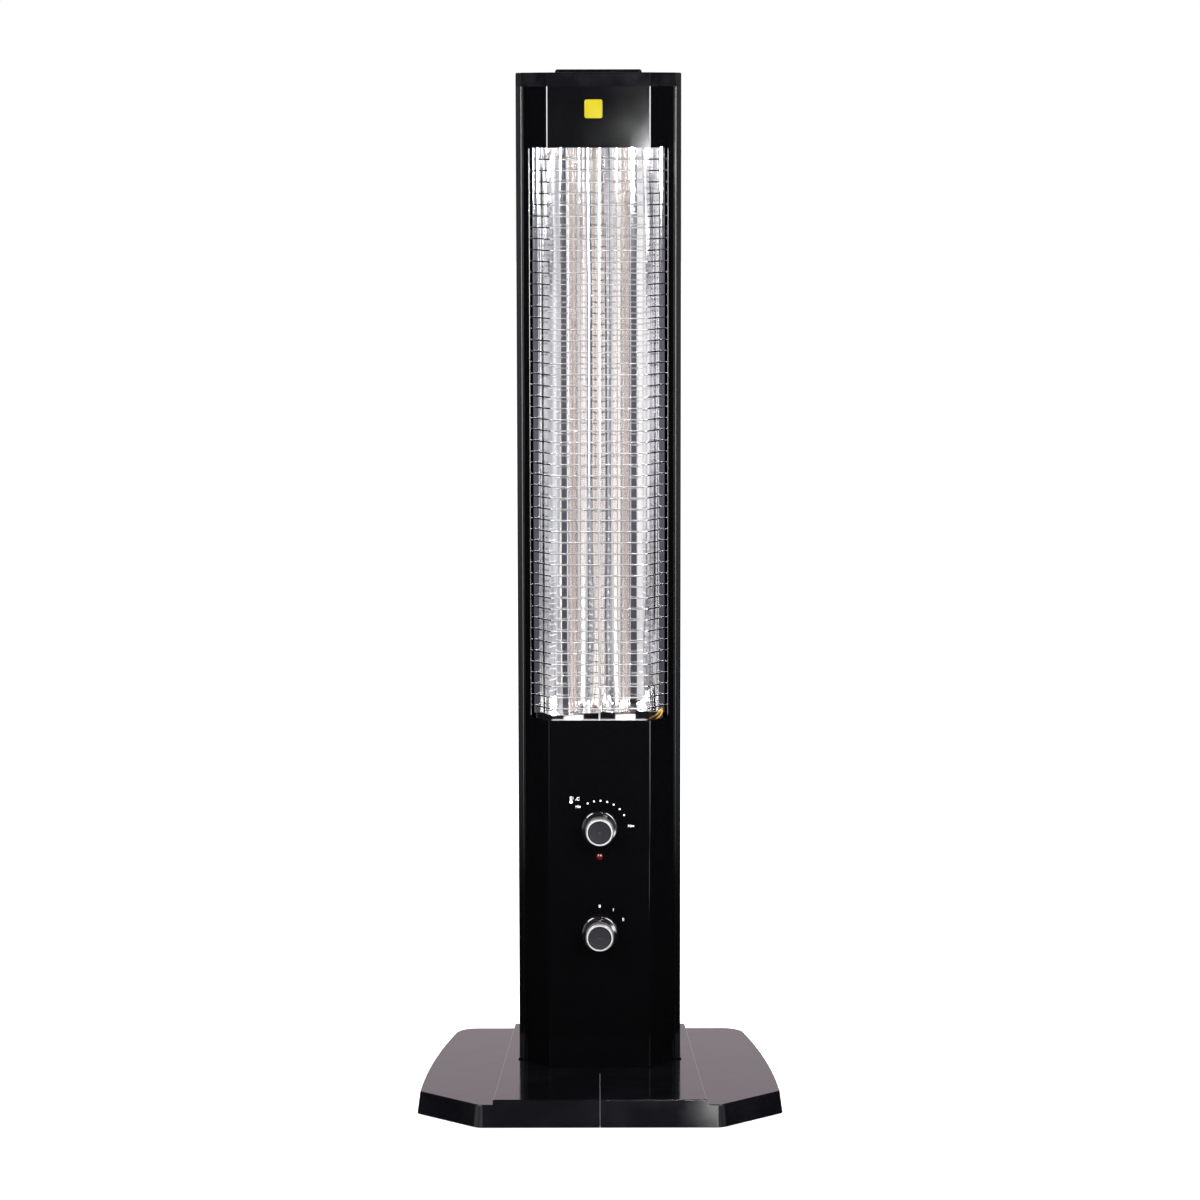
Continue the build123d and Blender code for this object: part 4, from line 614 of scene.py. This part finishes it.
def lensFinish():
    # deep red moulded lens
    finish, tree, shader = startFinish(
        "red_lens", Specular_IOR_Level=0.5, Coat_Weight=0.6, Coat_Roughness=0.04, Subsurface_Weight=0.15,
        Subsurface_Radius=(0.004, 0.0006, 0.0004),
    )
    grain = useGroup(tree, grainGroup, Grain=1500.0, Waves=500.0, Mix=0.2)
    warm = addRange(tree, grain.outputs["Spread"], *spans["spread"], 0.0, 1.0)
    tone = mixColours(tree, warm, (0.045, 0.0006, 0.002, 1), (0.075, 0.0015, 0.004, 1))
    tree.links.new(tone, shader.inputs["Base Color"])
    haze = addRange(tree, grain.outputs["Spread"], *spans["spread"], 0.08, 0.14)
    tree.links.new(haze, shader.inputs["Roughness"])
    addBump(tree, shader, grain.outputs["Height"], 0.00002)
    return finish


def floorFinish():
    return startFinish(
        "pale_floor", Base_Color=studio["floorColour"], Roughness=0.7, Specular_IOR_Level=0.2,
        Emission_Color=(1, 1, 1, 1), Emission_Strength=studio["floorGlow"],
    )[0]


finishes = {"quartz_glass": quartzFinish(), "red_lens": lensFinish()}
for name, look in mouldedLooks.items():
    finishes[name] = mouldedFinish(name, look)
for name, look in metalLooks.items():
    finishes[name] = metalFinish(name, look)
floor.data.materials.append(floorFinish())
print("finishes:", len(finishes))


# the CAD nodes keep their shapes and take these finishes

slotOfNode = {row["node"]: row["material_slot"] for row in frame["record"]["subparts"]}
for name, node in frame["nodes"].items():
    finish = finishes[slotOfNode[name]]
    if node.material_slots:
        node.material_slots[0].material = finish
    else:
        node.data.materials.append(finish)


# modelling helpers

def pickParts(piece, kind, test):
    # selects only the vertices, edges or faces that pass the test, and leaves edit mode on
    deselectAll()
    bpy.context.view_layer.objects.active = piece
    piece.select_set(True)
    bpy.ops.object.mode_set(mode="EDIT")
    bpy.ops.mesh.select_mode(type=kind)
    bpy.ops.mesh.select_all(action="DESELECT")
    bpy.ops.object.mode_set(mode="OBJECT")
    parts = {"VERT": piece.data.vertices, "EDGE": piece.data.edges, "FACE": piece.data.polygons}[kind]
    for part in parts:
        part.select = test(part)
    bpy.ops.object.mode_set(mode="EDIT")


def applyModifier(piece, kind, **values):
    modifier = piece.modifiers.new(kind.lower(), kind)
    for key, value in values.items():
        setattr(modifier, key, value)
    deselectAll()
    bpy.context.view_layer.objects.active = piece
    piece.select_set(True)
    bpy.ops.object.modifier_apply(modifier=modifier.name)


def settle(piece):
    # place and turn go into the mesh, so the object ends at the origin
    deselectAll()
    bpy.context.view_layer.objects.active = piece
    piece.select_set(True)
    bpy.ops.object.transform_apply(location=True, rotation=True, scale=True)


def finishPiece(piece, name, finish, nodes=(), angle=40, body="heater"):
    settle(piece)
    bpy.ops.object.shade_smooth_by_angle(angle=math.radians(angle))
    piece.name = name
    piece.data.materials.clear()
    piece.data.materials.append(finishes[finish])
    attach(piece, body)
    if nodes:
        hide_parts(*nodes)
    deselectAll()


def ripple(place, scale, start):
    # even noise at a place, by its own scale and starting point
    return noise.noise(Vector([v * k + s for v, k, s in zip(place, scale, start)]))


def joinPieces(parts):
    deselectAll()
    for part in parts:
        part.select_set(True)
    bpy.context.view_layer.objects.active = parts[0]
    bpy.ops.object.join()
    return bpy.context.object


# reflector sheet: bent along one line seen from above, rippled, and crushed towards its ends

reflectorSheet = {
    # the right half, from its edge to the ridge in the middle: mm across and deep
    "profile": [
        (66.4, -6.15), (64.0, -6.0), (60.3, -6.0), (58.8, -3.6), (55.6, 6.2), (51.5, 10.9), (44.6, 16.9),
        (38.4, 18.05), (32.8, 18.05), (30.2, 17.6), (26.2, 18.3), (22.4, 17.6), (18.8, 18.2), (14.0, 17.5),
        (9.2, 17.0), (10.4, 13.0), (12.0, 9.6), (6.5, 5.2), (1.2, 1.4), (0, 1.2),
    ],
    "bend": 0.3,
    "bendSteps": 2,
    "faceSteps": 2,
    "rows": 230,
    "thick": 0.5,
    "wave": 0.10,
    "waveScale": (60, 60, 5),
    "crumple": 0.42,
    "crumpleHeight": 42.0,
    "crumpleFall": 1.3,
    "crumpleAtTop": 0.35,
    "crumpleScale": (75, 75, 30),
    "crumpleStart": (0, 7, 0),
    "wedge": 2.6,
    "wedgeHeight": 190.0,
    "wedgeScale": (55, 0, 9),
    "wedgeStart": (3, 2.7, 0),
    "edge": 64,
    "edgeRun": 12,
    "smooth": 25,
}


def roundedProfile(points, bend, bendSteps, faceSteps):
    # the bent sheet's line seen from above: straight faces joined by small arcs
    line = []
    for i, point in enumerate(points):
        here = Vector(point)
        if i == 0 or i == len(points) - 1:
            line.append(here)
            continue
        before = (Vector(points[i - 1]) - here).normalized()
        after = (Vector(points[i + 1]) - here).normalized()
        for k in range(bendSteps + 1):
            t = k / bendSteps
            start = here + before * bend
            end = here + after * bend
            line.append((1 - t) ** 2 * start + 2 * t * (1 - t) * here + t**2 * end)
    full = [line[0]]
    for a, b in zip(line, line[1:]):
        steps = faceSteps if (b - a).length > 2 * bend else 1
        full += [a.lerp(b, (k + 1) / steps) for k in range(steps)]
    return full


def buildReflector(spec):
    low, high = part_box("reflector")
    right = spec["profile"]
    points = [(-x, y) for x, y in right] + [(x, y) for x, y in reversed(right[:-1])]
    line = roundedProfile(points, spec["bend"], spec["bendSteps"], spec["faceSteps"])
    height = high.z - low.z
    middle = (high.z + low.z) / 2
    deselectAll()
    bpy.ops.mesh.primitive_plane_add(size=mm, location=(0, 0, 0))
    sheet = bpy.context.object
    bpy.ops.object.mode_set(mode="EDIT")
    bpy.ops.mesh.select_all(action="SELECT")
    bpy.ops.mesh.merge(type="CENTER")
    bpy.ops.transform.translate(value=(line[0].x * mm, line[0].y * mm, low.z))
    for row in range(spec["rows"]):
        bpy.ops.mesh.extrude_region_move(TRANSFORM_OT_translate={"value": (0, 0, height / spec["rows"])})
    bpy.ops.mesh.select_all(action="SELECT")
    for a, b in zip(line, line[1:]):
        step = (b - a) * mm
        bpy.ops.mesh.extrude_region_move(TRANSFORM_OT_translate={"value": (step.x, step.y, 0)})
    bpy.ops.mesh.select_all(action="SELECT")
    bpy.ops.mesh.normals_make_consistent(inside=False)
    bpy.ops.object.mode_set(mode="OBJECT")
    for vertex in sheet.data.vertices:
        place = vertex.co
        slow = ripple(place, spec["waveScale"], (0, 0, 0))
        end = min(place.z - low.z, high.z - place.z) / mm
        share = 1.0 if place.z < middle else spec["crumpleAtTop"]
        near = share * max(0.0, 1 - end / spec["crumpleHeight"]) ** spec["crumpleFall"]
        sharp = ripple(place, spec["crumpleScale"], spec["crumpleStart"])
        inward = (spec["edge"] * mm - abs(place.x)) / (spec["edgeRun"] * mm)
        slant = max(0.0, 1 - end / spec["wedgeHeight"]) * min(1.0, inward)
        drift = ripple(place, spec["wedgeScale"], spec["wedgeStart"])
        vertex.co.y += mm * (spec["wave"] * slow + spec["crumple"] * near * sharp)
        vertex.co.x += mm * spec["wedge"] * max(0.0, slant) * drift
    applyModifier(sheet, "SOLIDIFY", thickness=spec["thick"] * mm, offset=-1)
    finish = "polished_reflector"
    finishPiece(sheet, "reflector_sheet", finish, ["reflector"], spec["smooth"])


buildReflector(reflectorSheet)


# end plates: thin, buckled and open round the tubes

endPlate = {
    "chamferFrom": (48, -18),
    "chamferTo": (64.2, 4),
    "cell": 2.0,
    "holeRadius": 5.6,
    "holeSides": 48,
    "cut": 10,
    "tubes": [(-26.5, -5), (26.5, -5)],
    "buckle": 1.7,
    "buckleAtBack": 0.25,
    "lift": 1.6,
    "tilt": 0.045,
    "liftDepth": 25,
    "waveScale": (95, 70, 0),
    "thick": 0.4,
    "smooth": 35,
}


def buildEndPlate(node, name, spec, turn):
    low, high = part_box(node)
    middle = (low + high) / 2
    size = high - low
    deselectAll()
    columns = int(size.x / mm / spec["cell"])
    rows = int(size.y / mm / spec["cell"])
    bpy.ops.mesh.primitive_grid_add(x_subdivisions=columns, y_subdivisions=rows, size=1, location=middle)
    plate = bpy.context.object
    plate.scale = (size.x, size.y, 1)
    settle(plate)
    start = Vector(spec["chamferFrom"]) * mm
    end = Vector(spec["chamferTo"]) * mm
    along = (end - start).normalized()
    for side in (-1, 1):
        bpy.ops.object.mode_set(mode="EDIT")
        bpy.ops.mesh.select_all(action="SELECT")
        bpy.ops.mesh.bisect(
            plane_co=(side * start.x, start.y, 0), plane_no=(side * along.y, -along.x, 0), clear_outer=True
        )
        bpy.ops.object.mode_set(mode="OBJECT")
    back = spec["buckleAtBack"]
    for vertex in plate.data.vertices:
        place = vertex.co
        front = max(0.0, 1 - (place.y - low.y) / (spec["liftDepth"] * mm))
        wave = ripple(place, spec["waveScale"], (0, 0, turn))
        lift = spec["lift"] + spec["tilt"] * place.x / mm
        buckle = spec["buckle"] * (back + (1 - back) * front)
        vertex.co.z = middle.z + mm * (buckle * wave + lift * front**2)
    applyModifier(plate, "SOLIDIFY", thickness=spec["thick"] * mm, offset=0)
    for x, y in spec["tubes"]:
        bpy.ops.mesh.primitive_cylinder_add(
            vertices=spec["holeSides"], radius=spec["holeRadius"] * mm, depth=spec["cut"] * mm,
            location=(x * mm, y * mm, middle.z),
        )
        cutter = bpy.context.object
        applyModifier(plate, "BOOLEAN", object=cutter, operation="DIFFERENCE", solver="EXACT")
        bpy.data.objects.remove(cutter)
    finishPiece(plate, name, "polished_reflector", [node], spec["smooth"])


buildEndPlate("reflector_plate_bottom", "bottom_plate_sheet", endPlate, 3.1)
buildEndPlate("reflector_plate_top", "top_plate_sheet", endPlate, 8.4)
print("reflector and end plates")


# wound heating coils inside the quartz tubes

woundCoil = {
    "wire": 0.16,
    "pitch": 2.3,
    "sides": 4,
    "steps": 16,
    "endGap": 1.0,
    "rod": 0.3,
    "rodSides": 10,
    "weld": 0.01,
    "smooth": 60,
}


def buildCoil(side, spec):
    node = "heating_coil_" + side
    low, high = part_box(node)
    middle = (low + high) / 2
    outer = (high.x - low.x) / 2
    turns = int((high.z - low.z - 2 * spec["endGap"] * mm) / (spec["pitch"] * mm))
    deselectAll()
    bpy.ops.mesh.primitive_circle_add(
        vertices=spec["sides"], radius=spec["wire"] * mm, rotation=(math.radians(90), 0, 0),
        location=(outer - spec["wire"] * mm, 0, 0),
    )
    coil = bpy.context.object
    settle(coil)
    applyModifier(
        coil, "SCREW", axis="Z", angle=math.tau, screw_offset=spec["pitch"] * mm, iterations=turns,
        steps=spec["steps"], render_steps=spec["steps"], use_smooth_shade=True,
    )
    coil.location = (middle.x, middle.y, low.z + spec["endGap"] * mm)
    settle(coil)
    pickParts(coil, "VERT", lambda part: True)
    bpy.ops.mesh.remove_doubles(threshold=spec["weld"] * mm)
    bpy.ops.mesh.normals_make_consistent(inside=False)
    bpy.ops.object.mode_set(mode="OBJECT")
    bpy.ops.mesh.primitive_cylinder_add(
        vertices=spec["rodSides"], radius=spec["rod"] * mm, depth=high.z - low.z, location=middle
    )
    coil = joinPieces([coil, bpy.context.object])
    finishPiece(coil, "wound_coil_" + side, "resistance_wire", [node], spec["smooth"])


for side in ("left", "right"):
    buildCoil(side, woundCoil)
print("wound coils")


# loop of a lead that shows at the lower right corner, behind the guard

cornerLead = {
    "line": [
        (55.0, -2.0, 386.0), (59.5, -7.5, 389.0), (63.6, -8.0, 393.5), (64.4, -9.0, 399.5),
        (62.0, -9.6, 399.5), (60.0, -8.0, 394.0), (56.0, -3.0, 390.5), (52.0, 3.0, 388.0),
    ],
    "radius": 1.05,
    "steps": 6,
    "roundSteps": 3,
    "smooth": 60,
}


def buildLead(spec):
    deselectAll()
    bpy.ops.curve.primitive_nurbs_path_add()
    lead = bpy.context.object
    spline = lead.data.splines[0]
    spline.points.add(len(spec["line"]) - len(spline.points))
    for point, place in zip(spline.points, spec["line"]):
        point.co = (*(v * mm for v in place), 1)
    spline.use_endpoint_u = True
    spline.resolution_u = spec["steps"]
    lead.data.bevel_depth = spec["radius"] * mm
    lead.data.bevel_resolution = spec["roundSteps"]
    lead.data.use_fill_caps = True
    bpy.ops.object.convert(target="MESH")
    lead = bpy.context.object
    finishPiece(lead, "corner_lead", "lead_insulation", (), spec["smooth"])


buildLead(cornerLead)


# dark tongue that closes the seam between the foot's halves

seamTongue = {"thick": 0.3, "inset": 1.2, "draft": 8}


def buildTongue(spec):
    low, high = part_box("foot_left")
    inset = spec["inset"] * mm
    deselectAll()
    bpy.ops.mesh.primitive_cube_add(size=1, location=(0, (low.y + high.y) / 2, (low.z + high.z) / 2))
    tongue = bpy.context.object
    tongue.scale = (spec["thick"] * mm, high.y - low.y - 2 * inset, high.z - low.z - 2 * inset)
    settle(tongue)
    lean = (high.z - low.z) * math.tan(math.radians(spec["draft"]))
    pickParts(tongue, "FACE", lambda part: part.normal.z > 0.9)
    bpy.ops.transform.resize(value=(1, 1 - 2 * lean / (high.y - low.y - 2 * inset), 1))
    bpy.ops.object.mode_set(mode="OBJECT")
    finishPiece(tongue, "seam_tongue", "black_foot_plastic")


buildTongue(seamTongue)
print("corner lead and seam tongue")


# blank label on the fascia and the marks round the dials

panelY = -31.0
blankLabel = {
    "place": (-5.0, 1007.6),
    "width": 17.8,
    "height": 18.5,
    "thick": 0.25,
    "corner": 2.0,
    "cornerSteps": 8,
    "edge": 0.08,
    "edgeSteps": 2,
    "smooth": 40,
}


def addSlab(x, z, width, height, thick):
    # a flat block on the front panel
    bpy.ops.mesh.primitive_cube_add(size=1, location=(x * mm, (panelY - thick / 2) * mm, z * mm))
    slab = bpy.context.object
    slab.scale = (width * mm, thick * mm, height * mm)
    settle(slab)
    return slab


def pickCorners(slab, thick):
    # the four edges that run from the panel to the front
    def runsDeep(edge):
        start, end = (slab.data.vertices[i].co.y for i in edge.vertices)
        return abs(start - end) > thick * mm / 2

    pickParts(slab, "EDGE", runsDeep)


def pickFront(piece, thick):
    front = (panelY - thick) * mm
    pickParts(piece, "FACE", lambda face: abs(face.center.y - front) < 0.01 * mm)


def buildLabel(spec):
    x, z = spec["place"]
    deselectAll()
    label = addSlab(x, z, spec["width"], spec["height"], spec["thick"])
    pickCorners(label, spec["thick"])
    bpy.ops.mesh.bevel(offset=spec["corner"] * mm, segments=spec["cornerSteps"], affect="EDGES")
    pickFront(label, spec["thick"])
    bpy.ops.mesh.bevel(offset=spec["edge"] * mm, segments=spec["edgeSteps"], affect="EDGES")
    finishPiece(label, "blank_label", "label_film", (), spec["smooth"])


dialMarks = {
    "thick": 0.06,
    "discSides": 28,
    "discInset": 0.06,
    "barRound": 0.45,
    "barSteps": 4,
    "smooth": 30,
    "dotRadius": 0.92,
    "dotRing": 28.4,
    "dots": [-25.2, -11.6, 2.1, 16.0, 30.5, 46.1, 61.6],
    # text, place across and up from the dial's middle, size
    "words": [("Min", -21.8, 22.4, 4.1), ("Max", 32.2, 2.4, 4.1), ("°C", -22.6, 30.2, 4.7)],
    "bold": 0.012,
    "firstLetter": 0.84,
    "letterGap": 0.06,
    "wordDrop": 0.3,
    "thermometer": (-29.0, 30.0),
    "bulb": (0.0, -2.6, 1.75),
    # the thermometer's bars: place across and up, width, height
    "stem": [(0.0, -0.7, 1.2, 2.6), (-0.9, 1.1, 0.45, 2.6), (0.9, 1.1, 0.45, 2.6), (0.0, 2.5, 2.0, 0.5)],
    "scale": [(2.1, 0.4, 0.8, 0.25), (2.1, 1.3, 0.8, 0.25), (2.1, 2.2, 0.8, 0.25)],
    "selectorRing": 27.8,
    "steps": [("0", 0.0), ("I", 30.0), ("II", 60.0)],
    "stepSize": 4.2,
}


def addWord(text, x, z, size, thick):
    bpy.ops.object.text_add(
        location=(x * mm, (panelY - thick / 2) * mm, z * mm), rotation=(math.radians(90), 0, 0)
    )
    word = bpy.context.object
    word.data.body = text
    word.data.size = size * mm
    word.data.align_x = "CENTER"
    word.data.align_y = "CENTER"
    word.data.extrude = thick * mm / 2
    word.data.offset = dialMarks["bold"] * mm
    deselectAll()
    bpy.context.view_layer.objects.active = word
    word.select_set(True)
    bpy.ops.object.convert(target="MESH")
    settle(bpy.context.object)
    return bpy.context.object


def addLevelWord(text, x, z, size, thick):
    # a smaller first letter keeps the line of the word level
    first = addWord(text[0], x, z, dialMarks["firstLetter"] * size, thick)
    rest = addWord(text[1:], x, z, size, thick)
    gap = dialMarks["letterGap"] * size * mm
    bottom = z * mm - dialMarks["wordDrop"] * size * mm
    wide = first.dimensions.x + gap + rest.dimensions.x
    left = x * mm - wide / 2
    for part in (first, rest):
        corners = [Vector(corner) for corner in part.bound_box]
        part.location = (left - min(c.x for c in corners), 0, bottom - min(c.z for c in corners))
        left += part.dimensions.x + gap
        settle(part)
    return joinPieces([first, rest])


def addDisc(x, z, radius, thick):
    bpy.ops.mesh.primitive_cylinder_add(
        vertices=dialMarks["discSides"], radius=radius * mm, depth=thick * mm,
        rotation=(math.radians(90), 0, 0), location=(x * mm, (panelY - thick / 2) * mm, z * mm),
    )
    disc = bpy.context.object
    settle(disc)
    pickFront(disc, thick)
    bpy.ops.mesh.inset(thickness=radius * mm * dialMarks["discInset"])
    bpy.ops.object.mode_set(mode="OBJECT")
    return disc


def addBar(x, z, width, height, thick):
    bar = addSlab(x, z, width, height, thick)
    pickCorners(bar, thick)
    offset = min(width, height) * mm * dialMarks["barRound"]
    bpy.ops.mesh.bevel(offset=offset, segments=dialMarks["barSteps"], affect="EDGES")
    bpy.ops.object.mode_set(mode="OBJECT")
    return bar


def dialPlace(node):
    low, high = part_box(node)
    middle = (low + high) / 2
    return middle.x / mm, middle.z / mm


def onRing(x0, z0, ring, turn):
    angle = math.radians(turn)
    return x0 + ring * math.sin(angle), z0 + ring * math.cos(angle)


def buildThermostatMarks(spec):
    x0, z0 = dialPlace("thermostat_knob_sleeve")
    parts = []
    for turn in spec["dots"]:
        x, z = onRing(x0, z0, spec["dotRing"], turn)
        parts.append(addDisc(x, z, spec["dotRadius"], spec["thick"]))
    for text, x, z, size in spec["words"]:
        parts.append(addLevelWord(text, x0 + x, z0 + z, size, spec["thick"]))
    left, level = spec["thermometer"]
    x, z, radius = spec["bulb"]
    parts.append(addDisc(x0 + left + x, z0 + level + z, radius, spec["thick"]))
    for x, z, width, height in spec["stem"] + spec["scale"]:
        parts.append(addBar(x0 + left + x, z0 + level + z, width, height, spec["thick"]))
    finishPiece(joinPieces(parts), "thermostat_marks", "dial_print", (), spec["smooth"])


def buildSelectorMarks(spec):
    x0, z0 = dialPlace("selector_knob_sleeve")
    parts = []
    for text, turn in spec["steps"]:
        x, z = onRing(x0, z0, spec["selectorRing"], turn)
        parts.append(addWord(text, x, z, spec["stepSize"], spec["thick"]))
    finishPiece(joinPieces(parts), "selector_marks", "dial_print", (), spec["smooth"])


buildLabel(blankLabel)
buildThermostatMarks(dialMarks)
buildSelectorMarks(dialMarks)
print("label and dial marks")
